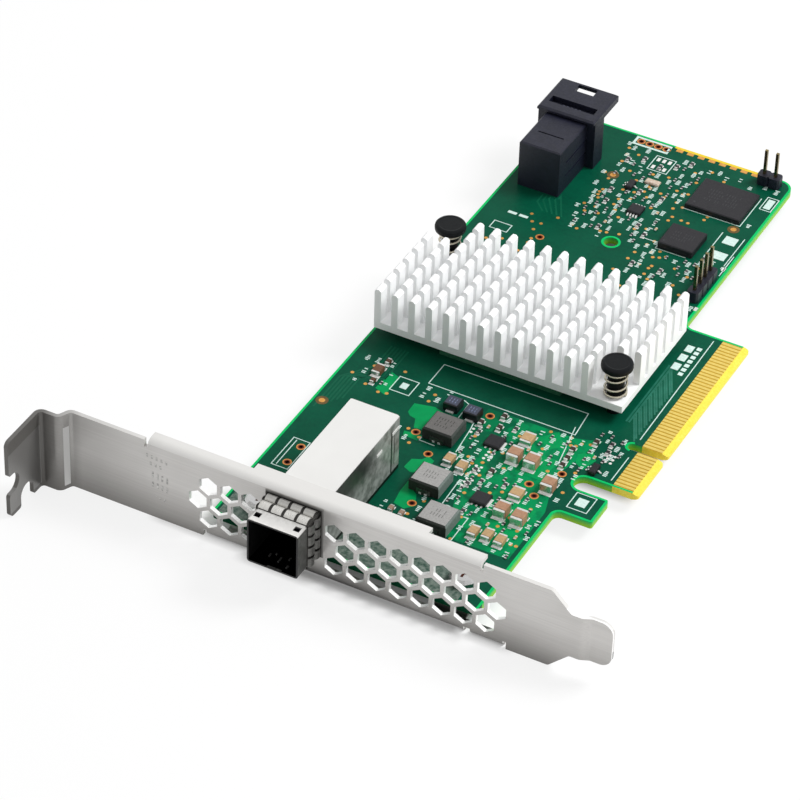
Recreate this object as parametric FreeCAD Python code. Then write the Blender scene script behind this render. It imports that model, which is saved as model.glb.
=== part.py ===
import FreeCAD, Part
import math
import os

# Plug-in host bus adapter: a low-profile circuit board with an edge connector, a folded
# full-height slot bracket, an external port, an internal port and a controller chip under a
# pin-fin heat sink that two sprung push pins hold down.
# Millimetres. +X runs from the board's top edge to its contact edge, +Y from the bracket to
# the board's rear edge, +Z out of the component side. The origin lies on the contact edge, at
# the middle of the key notch, on the component face.

# Board
card_length = 155.65          # outer face of the bracket to the rear edge
card_height = 68.90           # top edge to contact edge
board_thickness = 1.57
bracket_offset = 59.05        # key notch to the bracket's inner face
board_front_gap = 1.90        # bracket's inner face to the board's front edge
front_shoulder = 12.00        # contact edge back to the shoulder beside the bracket
rear_shoulder = 14.50         # contact edge back to the shoulder behind the contacts
outer_corner = 0.80
rear_corner = 3.00
shoulder_fillet = 2.00

# Edge connector
key_notch_width = 1.90
key_notch_depth = 8.25
short_row_contacts = 11
long_row_contacts = 38
contact_pitch = 1.00
contact_width = 0.70
contact_thickness = 0.05
contact_start = 5.60          # contact edge to the far end of a contact
first_contact = 1.50          # key notch's middle to the first contact's middle
tongue_margin = 1.10          # last contact's middle to the tongue's outer side
bevel_run = 1.30
bevel_drop = 0.45
tongue_corner = 0.60

# Retaining tab beside the short tongue
tab_slot_width = 4.20
tab_slot_end = 12.70          # contact edge back to the slot's rounded end
tab_width = 7.50
tab_setback = 4.30            # contact edge back to the tab's free edge
tab_root_fillet = 1.50
tab_corner = 0.50

# Holes in the board
tooling_hole = (-39.8, 57.9)
tooling_hole_diameter = 3.10
plated_hole_diameter = 1.00
small_hole_sides = 8          # plated holes are drawn with few sides
plated_holes = [
    (-63.4, -32.1), (-63.5, -37.4), (-46.1, -17.0), (-40.9, -21.7), (-36.8, -36.2),
    (-35.7, -5.4), (-19.8, -20.0), (-17.4, -22.7), (-15.6, -14.2), (-53.4, 52.0),
]
spare_header_start = (-49.7, 2.14)     # x, then in from the rear edge
spare_header_pitch = 2.00
spare_header_holes = 4

# Bracket
bracket_sheet = 0.86
bracket_width = 18.42
bracket_height = 120.02       # screw tab's seat to the tip of the tongue
bracket_tip = 16.45           # contact edge to the tip of the tongue
bracket_below_board = 2.54    # solder face down to the bracket's lower edge
bend_radius = 0.80            # inside a fold
tongue_width = 10.19
tongue_root = 8.30
taper_start = 4.20
tongue_jog_start = 10.40
tongue_jog_run = 1.80
tongue_jog = 0.80
tongue_tip_corner = 2.40
taper_corner = 1.00
tab_jog = 2.60                # how far the tab's root stands out from the face
tab_jog_run = 1.20
tab_root_run = 4.10           # flat between the jog and the tab's fold
screw_tab_depth = 11.43
screw_tab_corner = 1.20
notch_mouth_corner = 0.60
screw_notch_width = 4.42
screw_notch_depth = 4.40
screw_notch_offset = 5.40     # tab's root to the middle of the screw notch
finger_notch_depth = 3.50
finger_notch_height = 4.60
finger_notch_middle = 3.70    # above the component face
upper_flange = (-81.3, -10.5)
upper_flange_depth = 3.00
cover_flange = (-59.8, -22.7)
cover_flange_depth = 4.60
ear_flange_margins = (3.00, 1.10)   # past the ears' outer sides
toe_flange = (-12.0, -5.2)
lower_flange_depth = 3.00
fold_relief = 0.70            # slit beside each flange
fold_zone = 4.00              # height of face made with each fold
ear_insets = (6.90, 6.00)     # in from the board's top edge and from its front shoulder
ear_width = 7.00
ear_step_start = 3.90         # face to the ear's step
ear_step_run = 2.20
ear_reach = 12.60             # face to the ear's free end
ear_hole_reach = 9.00
screw_diameter = 3.00
screw_clearance = 0.15
screw_head_diameter = 5.50
screw_head_height = 1.80
screw_head_crown = 0.60
screw_tail = 0.60
screw_sides = 12              # screws are drawn with few sides

# Hexagonal vents
vent_across_flats = 3.80
vent_pitch = 4.56
vent_row_drop = 4.03
vent_top_row = 8.45           # middle of the upper row above the component face
vent_gaps = (3.90, 3.20)      # port's left and right sides to the nearest middles of the upper row
vent_counts = [(3, 8), (3, 8), (3, 8)]   # vents left and right of the port in each row

# External port
port_middle = -49.55
port_width = 10.90
port_top = 12.30
cage_top = 12.90              # behind the bracket
port_wall = 0.35
port_corner = 0.60
nose_bottom = 1.90
nose_reach = 8.10             # bracket's outer face to the nose's front
port_rear = 31.00             # bracket's inner face to the cage's rear wall
port_clearance = 0.35         # nose to the bracket's window
key_window = 1.30
key_window_inset = 1.25       # nose's sides in to the windows' middles
key_window_setback = 1.25     # nose's front back to the windows
seam_width = 0.30
seam_setback = 1.80
seam_bottom = 2.00
seam_top = 9.60
housing_clearance = 0.05
housing_setback = 0.60        # board's front edge to the housing's front
slot_width = 8.60
slot_height = 1.70
slot_depth = 7.00
slot_levels = (4.70, 9.00)
port_contact_pitch = 0.90
port_contact_width = 0.45
port_contact_thickness = 0.15
port_contacts_per_row = 9
port_contact_length = 5.50

# Spring collar round the nose
collar_sheet = 0.15
collar_gap = 0.05
collar_band = 0.90
collar_length = 4.60
finger_rise = 0.85
finger_peak = 2.50            # collar's front to the crest of a finger
fingers_per_side = 4
finger_gap = 0.40

# Internal port
socket_middle_inset = 7.80    # board's top edge to the port's middle
socket_rear_inset = 5.30      # board's rear edge to the latch plate's free edge
socket_block = (9.50, 12.80, 11.20)
socket_block_edge = 0.30
block_groove = (6.00, 0.35, 0.25)
block_groove_setback = 5.20   # block's front to the groove across its top
side_groove = (0.20, 9.60, 0.40)
side_groove_levels = (3.40, 6.80)
socket_shroud = (13.40, 4.40, 12.50)
latch_plate_length = 12.10
latch_plate_thickness = 0.90
latch_plate_lip = 0.80        # plate's front ahead of the shroud's
latch_rail = (1.20, 0.90)     # width and depth of the rails under the plate's sides
socket_wall = 1.30
socket_floor = 1.40
socket_mouth_depth = 13.00
socket_edge = 0.40
latch_window = (10.60, 2.20)
latch_window_setback = 2.60
latch_teeth = 5
latch_tooth = (0.40, 0.60)
latch_tooth_pitch = 0.95
pull_slot = (4.40, 2.40)
pull_slot_inset = 2.10
tongue_card = (5.80, 6.00, 1.20)
tongue_card_levels = (3.80, 7.40)
socket_contact_pitch = 0.75
socket_contact_width = 0.40
socket_contact_thickness = 0.10
socket_contacts_per_row = 7
socket_contact_setback = 0.50

# Controller chip, thermal pad and heat sink
chip_side = 27.00
chip_substrate = 1.00
chip_lid_side = 21.00
chip_lid = 1.20
thermal_pad_side = 19.00
thermal_pad = 0.30
sink_front = 5.40
sink_edge_inset = 1.30        # board's top edge to the heat sink's side
sink_columns = 15
sink_rows = 8
column_pitch = 3.84
row_pitch = 3.95
pin_width = 1.45
pin_depth = 2.55
pin_bevel = 0.42
sink_base = 1.60
sink_height = 9.60
corner_columns = 2
corner_rows = 2

# Push pins and their springs
push_pin_shank = 2.60
push_pin_neck = 3.60           # between the head and the heat sink
push_pin_neck_gap = 0.50      # neck's shoulder above the heat sink's base
push_pin_inset = 0.40         # cleared corner's middle in to the pin
push_pin_clearance = 0.25
push_pin_head = 6.50
push_pin_head_height = 1.70
push_pin_head_edge = 0.50
push_pin_head_lift = 6.30     # heat sink's base to the underside of the head
push_pin_barb = 4.00
push_pin_barb_length = 2.00
push_pin_barb_land = 0.30
push_pin_split = 0.60
spring_wire = 0.50
spring_diameter = 5.20        # middle of the wire
spring_turns = 4
spring_facets = 4
spring_end_gap = 0.05

# Power inductors
inductor_middles = [(-41.0, -14.9), (-36.1, -29.8), (-29.7, -39.1)]
inductor_size = (6.50, 6.20, 2.60)
inductor_edge = 0.35
terminal_sheet = 0.20
terminal_width = 3.00
terminal_height = 1.30
terminal_foot = 1.40

# Chips
tantalum_middles = [(-43.2, -6.7), (-38.6, -7.3)]
tantalum_size = (3.10, 2.90, 1.90)
regulator_middles = [(-31.1, -12.5), (-25.7, -28.9)]
regulator_size = (3.40, 3.40, 0.90)
memory_place = (-25.3, 13.9)            # x, then in from the rear edge
memory_size = (12.50, 10.60, 1.20)
flash_place = (-26.7, 30.9)
flash_size = (7.80, 7.70, 1.60)
sensor_place = (-39.9, 25.6)
sensor_size = (3.00, 3.00, 0.90)
sensor_leads = (4, 4)
sensor_lead_pitch = 0.65
front_transistor = (-10.6, -10.3)
rear_transistor_place = (-44.7, 18.1)
transistor_size = (1.40, 2.90, 1.00)
transistor_lead_counts = (2, 1)
transistor_lead_pitch = 0.95
array_place = (-41.1, 14.8)
array_size = (3.20, 1.60, 0.60)
chip_edge = 0.20
lead_sheet = 0.15
lead_width = 0.35
lead_reach = 0.90
lead_shoulder = 0.30
lead_level = 0.30             # board to the underside of a lead where it leaves its body

# Pin headers
header_pitch = 2.54
header_post = 0.64
header_base_height = 2.54
header_post_top = 8.50
header_post_tail = 1.40
header_hole_diameter = 1.02
header_chamfer = 0.40
rear_header_place = (-19.4, 2.74)       # x, then in from the rear edge
rear_header_pins = 2
side_header_place = (2.10, 52.6)        # in from the rear shoulder, then y
side_header_pins = 4

# Chip capacitors and resistors, each as (x, y) of its middle
tall_capacitors = [(-25.6, -14.7), (-21.8, -14.9), (-20.4, -30.5), (-16.5, -31.0), (-15.9, -19.4)]
tall_capacitor_size = (3.40, 2.50, 2.20, 0.60)
flat_capacitors = [(-25.8, -8.6), (-20.3, -24.3)]
flat_capacitor_size = (3.20, 2.40, 1.20, 0.50)
medium_capacitors = [
    (-36.3, -21.6), (-33.2, -22.4), (-22.5, -38.3), (-19.7, -37.8), (-16.9, -38.1), (-61.3, -4.2),
]
medium_capacitor_size = (3.00, 1.80, 1.20, 0.45)
small_capacitors = [
    (-60.8, -7.4), (-60.9, -0.7), (-33.0, -4.6), (-32.3, -8.1), (-16.9, -7.0), (-16.7, -9.8),
    (-16.6, -12.2), (-27.6, -20.7), (-39.4, -39.9), (-37.0, -40.2), (-36.2, -8.4), (-13.8, -2.7),
]
small_capacitor_size = (1.60, 0.90, 0.80, 0.30)
front_resistors = [
    (-29.4, -6.7), (-30.7, -21.5), (-28.1, -24.1), (-10.9, -1.7), (-10.6, -4.2), (-23.6, -22.8),
    (-27.2, -33.6), (-30.2, -26.0), (-35.4, -11.0), (-26.6, 53.7), (-32.8, 53.3),
]
rear_resistor_places = [      # x, then in from the rear edge
    (-34.8, 32.5), (-37.3, 30.1), (-44.4, 34.5), (-49.3, 9.7), (-46.2, 7.9), (-42.1, 8.9), (-39.0, 7.1),
    (-36.6, 4.7), (-42.1, 19.1), (-36.9, 19.3), (-47.0, 25.5), (-47.8, 21.3), (-20.4, 33.9),
]
resistor_size = (1.30, 0.70, 0.50, 0.25)

# Allowances in the drawing
overshoot = 1.00              # how far a cut runs past the solid
arc_margin = 0.01             # straight left between the two rounds of a notch's end
tolerance = 1e-6

V = FreeCAD.Vector
PLANES = {
    "xy": (V(1, 0, 0), V(0, 1, 0), V(0, 0, 1)),
    "xz": (V(1, 0, 0), V(0, 0, 1), V(0, 1, 0)),
    "yz": (V(0, 1, 0), V(0, 0, 1), V(1, 0, 0)),
}

# Levels and edges that several pieces share
board_bottom = -board_thickness
face_y = -bracket_offset - bracket_sheet
inner_y = -bracket_offset
board_front = inner_y + board_front_gap
board_rear = face_y + card_length
bracket_bottom = board_bottom - bracket_below_board
bracket_top = bracket_bottom + bracket_width
bracket_middle = (bracket_bottom + bracket_top) / 2
screw_tab_seat = bracket_tip - bracket_height
notch_side = key_notch_width / 2
short_tongue_end = -first_contact - (short_row_contacts - 1) * contact_pitch - tongue_margin
long_tongue_end = first_contact + (long_row_contacts - 1) * contact_pitch + tongue_margin
tab_near_side = short_tongue_end - tab_slot_width
tab_far_side = tab_near_side - tab_width
sink_bottom = chip_substrate + chip_lid + thermal_pad
sink_base_top = sink_bottom + sink_base
sink_left = -card_height + sink_edge_inset
sink_width = (sink_columns - 1) * column_pitch + pin_width
sink_depth = (sink_rows - 1) * row_pitch + pin_depth
sink_right = sink_left + sink_width
sink_rear = sink_front + sink_depth
chip_middle = ((sink_left + sink_right) / 2, (sink_front + sink_rear) / 2)
corner_half_width = ((corner_columns - 1) * column_pitch + pin_width) / 2
corner_half_depth = ((corner_rows - 1) * row_pitch + pin_depth) / 2
corner_reach = corner_half_width + push_pin_inset
push_pin_front = (sink_right - corner_reach, sink_front + corner_half_depth)
push_pin_rear = (sink_left + corner_reach, sink_rear - corner_half_depth)
push_pin_hole = push_pin_shank + 2 * push_pin_clearance
port_left = port_middle - port_width / 2
port_right = port_middle + port_width / 2
nose_front = face_y - nose_reach
cage_rear = inner_y + port_rear
housing_front = board_front + housing_setback
socket_middle = -card_height + socket_middle_inset
latch_edge = board_rear - socket_rear_inset
plate_front = latch_edge - latch_plate_length
shroud_front = plate_front + latch_plate_lip
block_front = shroud_front - socket_block[1]
shroud_rear = shroud_front + socket_shroud[1]
rear_header = (rear_header_place[0], board_rear - rear_header_place[1])
side_header = (-rear_shoulder - side_header_place[0], side_header_place[1])
ear_middles = (-card_height + ear_insets[0], -front_shoulder - ear_insets[1])
ear_hole_y = face_y + ear_hole_reach
ear_flange = (
    ear_middles[0] - ear_width / 2 - ear_flange_margins[0],
    ear_middles[1] + ear_width / 2 + ear_flange_margins[1],
)
lower_flanges = [ear_flange, toe_flange]


def corner_arc(before, corner, after, radius):
    """Start, middle and end of the arc that rounds a corner by a radius."""
    to_before = (before - corner).normalize()
    to_after = (after - corner).normalize()
    half_angle = to_before.getAngle(to_after) / 2
    cut = radius / math.tan(half_angle)
    inward = (to_before + to_after).normalize()
    middle = corner + inward * (radius / math.sin(half_angle) - radius)
    return corner + to_before * cut, middle, corner + to_after * cut


def rounded_face(corners, plane):
    """Flat face inside an outline of corners (u, v, radius), each rounded by its radius."""
    along_u, along_v, _ = PLANES[plane]
    points = [along_u * u + along_v * v for u, v, _ in corners]
    count = len(points)
    rounds = []
    for i in range(count):
        radius = corners[i][2]
        if radius:
            rounds.append(corner_arc(points[i - 1], points[i], points[(i + 1) % count], radius))
        else:
            rounds.append((points[i], points[i], points[i]))
    edges = []
    for i in range(count):
        start, middle, end = rounds[i]
        if corners[i][2]:
            edges.append(Part.Arc(start, middle, end).toShape())
        following = rounds[(i + 1) % count][0]
        if (following - end).Length > tolerance:
            edges.append(Part.makeLine(end, following))
    return Part.Face(Part.Wire(edges))


def slab(corners, plane, low, high):
    """Prism on a rounded outline, between two levels along the plane's normal."""
    normal = PLANES[plane][2]
    face = rounded_face(corners, plane)
    face.translate(normal * low)
    return face.extrude(normal * (high - low))


def block(x_low, x_high, y_low, y_high, z_low, z_high):
    """Box between two corners."""
    return Part.makeBox(x_high - x_low, y_high - y_low, z_high - z_low, V(x_low, y_low, z_low))


def box_on(middle, size, level):
    """Box of a size (x, y, z) centred on a point of the board, standing on a level."""
    x, y = middle
    length, width, height = size
    return block(x - length / 2, x + length / 2, y - width / 2, y + width / 2, level, level + height)


def rectangle(u_low, u_high, v_low, v_high, radius):
    """Corners of a rectangle, all rounded alike."""
    return [
        (u_low, v_low, radius), (u_high, v_low, radius),
        (u_high, v_high, radius), (u_low, v_high, radius),
    ]


def rod(x, y, diameter, low, high):
    """Upright cylinder."""
    return Part.makeCylinder(diameter / 2, high - low, V(x, y, low))


def regular_corners(u, v, across_flats, sides, first_angle):
    """Corners of a regular polygon, given across its flats; the first corner's angle is in degrees."""
    reach = across_flats / 2 / math.cos(math.pi / sides)
    angles = [math.radians(first_angle + 360 * i / sides) for i in range(sides)]
    return [(u + reach * math.cos(a), v + reach * math.sin(a), 0) for a in angles]


def turned(profile, x, y):
    """Solid of revolution about an upright axis; the profile's corners are (radius, level, fillet)."""
    face = rounded_face(profile, "xz")
    solid = face.revolve(V(0, 0, 0), V(0, 0, 1), 360)
    solid.translate(V(x, y, 0))
    return solid


def folded_strip(path, sheet, bend):
    """Section of a folded sheet: the path follows one face, the sheet lies on its left. No bend radius
    means sharp folds."""
    points = [V(u, v, 0) for u, v in path]
    lefts = []
    for start, end in zip(points, points[1:]):
        run = (end - start).normalize()
        lefts.append(V(-run.y, run.x, 0))
    near = [(points[0].x, points[0].y, 0)]
    far = [points[0] + lefts[0] * sheet]
    far_radii = [0]
    for point, left, following in zip(points[1:-1], lefts, lefts[1:]):
        turns_left = left.cross(following).z > 0
        outside = bend + sheet if bend else 0
        near.append((point.x, point.y, outside if turns_left else bend))
        far.append(point + (left + following) * (sheet / (1 + left.dot(following))))
        far_radii.append(bend if turns_left else outside)
    near.append((points[-1].x, points[-1].y, 0))
    far.append(points[-1] + lefts[-1] * sheet)
    far_radii.append(0)
    return near + [(p.x, p.y, r) for p, r in zip(reversed(far), reversed(far_radii))]


def eased_block(middle, size, level, edge):
    """Moulded block with its upper edges bevelled."""
    body = box_on(middle, size, level)
    top = level + size[2]
    upper_edges = [e for e in body.Edges if min(v.Z for v in e.Vertexes) > top - tolerance]
    return body.makeChamfer(edge, upper_edges)


def fused(shapes):
    """One solid from several that touch or overlap, with no seams left on its faces."""
    return shapes[0].multiFuse(shapes[1:]).removeSplitter()


def from_rear(place):
    """Middle on the board of a place given as x and a distance in from the rear edge."""
    return place[0], board_rear - place[1]


def board_outline():
    """Corners of the board, from the front corner at its top edge, with x then y and a radius."""
    notch_round = notch_side - arc_margin
    slot_round = tab_slot_width / 2 - arc_margin
    return [
        (-card_height, board_front, outer_corner),
        (-front_shoulder, board_front, outer_corner),
        (-front_shoulder, tab_far_side, tab_root_fillet),
        (-tab_setback, tab_far_side, tab_corner),
        (-tab_setback, tab_near_side, tab_corner),
        (-tab_slot_end, tab_near_side, slot_round),
        (-tab_slot_end, short_tongue_end, slot_round),
        (0, short_tongue_end, tongue_corner),
        (0, -notch_side, tongue_corner),
        (-key_notch_depth, -notch_side, notch_round),
        (-key_notch_depth, notch_side, notch_round),
        (0, notch_side, tongue_corner),
        (0, long_tongue_end, tongue_corner),
        (-rear_shoulder, long_tongue_end, shoulder_fillet),
        (-rear_shoulder, board_rear, rear_corner),
        (-card_height, board_rear, outer_corner),
    ]


def header_places(middle, pins, direction):
    """Middles of a header's posts along a direction."""
    first = -(pins - 1) / 2
    return [V(middle[0], middle[1], 0) + direction * (first + i) * header_pitch for i in range(pins)]


def circuit_board():
    """Board with its bevelled contact edge and its holes."""
    board = slab(board_outline(), "xy", board_bottom, 0)
    upper = [(-bevel_run, 0, 0), (overshoot, 0, 0), (overshoot, -bevel_drop, 0), (0, -bevel_drop, 0)]
    lower = [(u, board_bottom - v, 0) for u, v, _ in upper]
    along = (short_tongue_end - overshoot, long_tongue_end + overshoot)
    cuts = [slab(corners, "xz", *along) for corners in (upper, lower)]
    small = [(x, y, plated_hole_diameter) for x, y in plated_holes]
    spare_x, spare_y = from_rear(spare_header_start)
    for i in range(spare_header_holes):
        small.append((spare_x + i * spare_header_pitch, spare_y, plated_hole_diameter))
    for post in header_places(rear_header, rear_header_pins, V(1, 0, 0)):
        small.append((post.x, post.y, header_hole_diameter))
    for post in header_places(side_header, side_header_pins, V(0, 1, 0)):
        small.append((post.x, post.y, header_hole_diameter))
    for x, y, diameter in small:
        corners = regular_corners(x, y, diameter, small_hole_sides, 0)
        cuts.append(slab(corners, "xy", board_bottom - overshoot, overshoot))
    holes = [(x, y, push_pin_hole) for x, y in (push_pin_front, push_pin_rear)]
    for x in ear_middles:
        holes.append((x, ear_hole_y, screw_diameter + 2 * screw_clearance))
    holes.append((tooling_hole[0], tooling_hole[1], tooling_hole_diameter))
    cuts += [rod(x, y, diameter, board_bottom - overshoot, overshoot) for x, y, diameter in holes]
    return board.cut(cuts)


def edge_contacts(low, high):
    """Contacts of both tongues on one face of the board."""
    middles = [-first_contact - i * contact_pitch for i in range(short_row_contacts)]
    middles += [first_contact + i * contact_pitch for i in range(long_row_contacts)]
    half = contact_width / 2
    pads = [block(-contact_start, -bevel_run, y - half, y + half, low, high) for y in middles]
    return Part.makeCompound(pads)


def hexagon(x, z):
    """Hexagonal vent through the bracket's face, with two upright sides."""
    corners = regular_corners(x, z, vent_across_flats, 6, 30)
    return slab(corners, "xz", face_y - overshoot, inner_y + overshoot)


def vents():
    """Staggered rows of vents that start on either side of the port."""
    cuts = []
    left_gap, right_gap = vent_gaps
    for row, (left_count, right_count) in enumerate(vent_counts):
        z = vent_top_row - row * vent_row_drop
        shift = vent_pitch / 2 if row % 2 else 0
        cuts += [hexagon(port_left - left_gap - shift - i * vent_pitch, z) for i in range(left_count)]
        cuts += [hexagon(port_right + right_gap + shift + i * vent_pitch, z) for i in range(right_count)]
    return cuts


def bracket_face_outline():
    """Bracket seen square to its face: tapered tongue and straight edges."""
    half_tongue = tongue_width / 2
    past_tab = screw_tab_seat - bracket_sheet - overshoot
    lower = [
        (bracket_tip, bracket_middle - half_tongue, tongue_tip_corner),
        (tongue_root, bracket_middle - half_tongue, taper_corner),
        (taper_start, bracket_bottom, taper_corner),
        (past_tab, bracket_bottom, 0),
    ]
    upper = [(x, 2 * bracket_middle - z, radius) for x, z, radius in reversed(lower)]
    return lower + upper


def screw_tab_outline():
    """Screw tab seen along the bracket: a U notch for the screw and a notch in the free edge."""
    root = face_y - tab_jog
    free = root - screw_tab_depth
    screw_middle = root - screw_notch_offset
    half_screw = screw_notch_width / 2
    screw_end = bracket_bottom + screw_notch_depth
    finger_low = finger_notch_middle - finger_notch_height / 2
    finger_high = finger_notch_middle + finger_notch_height / 2
    finger_round = finger_notch_height / 2 - arc_margin
    screw_round = half_screw - arc_margin
    beyond = bracket_width
    return [
        (inner_y + beyond, bracket_bottom - beyond, 0),
        (inner_y + beyond, bracket_top + beyond, 0),
        (root, bracket_top + beyond, 0),
        (root, bracket_top, 0),
        (free, bracket_top, screw_tab_corner),
        (free, finger_high, notch_mouth_corner),
        (free + finger_notch_depth, finger_high, finger_round),
        (free + finger_notch_depth, finger_low, finger_round),
        (free, finger_low, notch_mouth_corner),
        (free, bracket_bottom, screw_tab_corner),
        (screw_middle - half_screw, bracket_bottom, notch_mouth_corner),
        (screw_middle - half_screw, screw_end, screw_round),
        (screw_middle + half_screw, screw_end, screw_round),
        (screw_middle + half_screw, bracket_bottom, notch_mouth_corner),
        (root, bracket_bottom, 0),
        (root, bracket_bottom - beyond, 0),
    ]


def upper_fold(depth):
    """Section of the flange on the bracket's component-side edge."""
    path = [(face_y + depth, bracket_top), (face_y, bracket_top), (face_y, bracket_top - fold_zone)]
    return folded_strip(path, bracket_sheet, bend_radius)


def lower_fold(depth):
    """Section of a flange on the bracket's solder-side edge."""
    path = [
        (face_y, bracket_bottom + fold_zone),
        (face_y, bracket_bottom),
        (face_y + depth, bracket_bottom),
    ]
    return folded_strip(path, bracket_sheet, bend_radius)


def ear_section():
    """Section of a mounting ear: it leaves the lower flange and steps up to the solder face."""
    step_start = face_y + ear_step_start
    ear_level = board_bottom - bracket_sheet
    path = [
        (face_y + lower_flange_depth / 2 + bend_radius, bracket_bottom),
        (step_start, bracket_bottom),
        (step_start + ear_step_run, ear_level),
        (face_y + ear_reach, ear_level),
    ]
    return folded_strip(path, bracket_sheet, bend_radius)


def bracket():
    """Folded sheet: vented face, screw tab, jogged tongue, two flanges and two mounting ears."""
    jog_end = screw_tab_seat + tab_root_run
    tab_face = face_y - tab_jog
    path = [
        (screw_tab_seat, tab_face - screw_tab_depth),
        (screw_tab_seat, tab_face),
        (jog_end, tab_face),
        (jog_end + tab_jog_run, face_y),
        (tongue_jog_start, face_y),
        (tongue_jog_start + tongue_jog_run, face_y + tongue_jog),
        (bracket_tip, face_y + tongue_jog),
    ]
    sheet = slab(folded_strip(path, bracket_sheet, bend_radius), "xy", bracket_bottom, bracket_top)
    face_mask = slab(bracket_face_outline(), "xz", face_y - bracket_width, inner_y + bracket_width)
    tab_mask = slab(screw_tab_outline(), "yz", screw_tab_seat - bracket_width, bracket_tip + overshoot)
    sheet = sheet.common(face_mask).common(tab_mask)
    upper_start, upper_end = upper_flange
    plain = bracket_sheet + bend_radius
    zones = [(upper_start, upper_end, bracket_top - fold_zone, bracket_top, -plain, 0)]
    for start, end in lower_flanges:
        zones.append((start, end, bracket_bottom, bracket_bottom + fold_zone, 0, plain))
    cleared = []
    flanges = [
        slab(upper_fold(upper_flange_depth), "yz", *upper_flange),
        slab(upper_fold(cover_flange_depth), "yz", *cover_flange),
    ]
    flanges += [slab(lower_fold(lower_flange_depth), "yz", *span) for span in lower_flanges]
    for start, end, low, high, drop, lift in zones:
        slits = (start - fold_relief, end)
        cleared.append(block(
            start - fold_relief, end + fold_relief, face_y - overshoot, inner_y + overshoot, low, high,
        ))
        flanges += [block(x, x + fold_relief, face_y, inner_y, low + lift, high + drop) for x in slits]
    ears = [slab(ear_section(), "yz", x - ear_width / 2, x + ear_width / 2) for x in ear_middles]
    folded = fused([sheet.cut(cleared)] + flanges + ears)
    opening = rectangle(
        port_left - port_clearance, port_right + port_clearance,
        nose_bottom - port_clearance, port_top + port_clearance, port_corner,
    )
    window = slab(opening, "xz", face_y - overshoot, inner_y + overshoot)
    ear_hole = screw_diameter + 2 * screw_clearance
    holes = [rod(x, ear_hole_y, ear_hole, bracket_bottom - overshoot, overshoot) for x in ear_middles]
    return folded.cut(vents() + holes + [window])


def bracket_screws():
    """Two screws through the board into the bracket's ears."""
    tip = board_bottom - bracket_sheet - screw_tail
    screws = []
    for x in ear_middles:
        shank_corners = regular_corners(x, ear_hole_y, screw_diameter, screw_sides, 0)
        head_corners = regular_corners(x, ear_hole_y, screw_head_diameter, screw_sides, 0)
        shank = slab(shank_corners, "xy", tip, 0)
        head = slab(head_corners, "xy", 0, screw_head_height)
        rim = [e for e in head.Edges if e.BoundBox.ZMin > screw_head_height - tolerance]
        screws.append(fused([shank, head.makeChamfer(screw_head_crown, rim)]))
    return Part.makeCompound(screws)


def port_section(bottom, top, inset):
    """Cross-section of the external port's cage, drawn in by an inset."""
    return rectangle(
        port_left + inset, port_right - inset, bottom + inset, top - inset, port_corner - inset,
    )


def external_port_cage():
    """Thin formed cage: a nose through the bracket and a box with no floor on the board."""
    nose = slab(port_section(nose_bottom, port_top, 0), "xz", nose_front, board_front)
    box = slab(port_section(-port_corner, cage_top, 0), "xz", board_front, cage_rear)
    below = block(
        port_left - overshoot, port_right + overshoot,
        nose_front, cage_rear + overshoot, -port_corner - overshoot, 0,
    )
    mouth = port_section(nose_bottom, port_top, port_wall)
    bore = slab(mouth, "xz", nose_front - overshoot, board_front + port_wall)
    chamber = port_section(-overshoot, cage_top, port_wall)
    hollow = slab(chamber, "xz", board_front + port_wall, cage_rear - port_wall)
    cuts = [below, bore, hollow]
    window_y = nose_front + key_window_setback + key_window / 2
    window = (key_window, key_window, port_wall + 2 * housing_clearance)
    for x in (port_left + key_window_inset, port_right - key_window_inset):
        cuts.append(box_on((x, window_y), window, port_top - port_wall - housing_clearance))
    seam_y = cage_rear - seam_setback
    cuts.append(block(
        port_right - port_wall - housing_clearance, port_right + overshoot,
        seam_y - seam_width, seam_y, seam_bottom, seam_top,
    ))
    return fused([nose, box]).cut(cuts)


def external_port_housing():
    """Insulator inside the cage, with a slot for each row of the plug's contacts."""
    inset = port_wall + housing_clearance
    body = block(
        port_left + inset, port_right - inset, housing_front, cage_rear - inset,
        0, port_top - inset - port_corner,
    )
    half = slot_width / 2
    slots = []
    for level in slot_levels:
        slots.append(block(
            port_middle - half, port_middle + half, housing_front - overshoot, housing_front + slot_depth,
            level - slot_height / 2, level + slot_height / 2,
        ))
    return body.cut(slots)


def external_port_contacts():
    """Contact strips on the floor and the roof of each slot."""
    strips = []
    first = port_middle - (port_contacts_per_row - 1) / 2 * port_contact_pitch
    half = port_contact_width / 2
    rear = housing_front + slot_depth
    for level in slot_levels:
        floor = level - slot_height / 2
        roof = level + slot_height / 2
        for i in range(port_contacts_per_row):
            x = first + i * port_contact_pitch
            for low in (floor, roof - port_contact_thickness):
                high = low + port_contact_thickness
                strips.append(block(x - half, x + half, rear - port_contact_length, rear, low, high))
    return Part.makeCompound(strips)


def collar_finger(width):
    """One sprung finger, lying along -Y from the bracket, with its crest up and its root at level 0."""
    path = [
        (-collar_length, 0),
        (-collar_length + collar_band, 0),
        (-collar_length + finger_peak, finger_rise),
        (-collar_gap, collar_sheet),
    ]
    return slab(folded_strip(path, collar_sheet, 0), "yz", -width / 2, width / 2)


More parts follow.
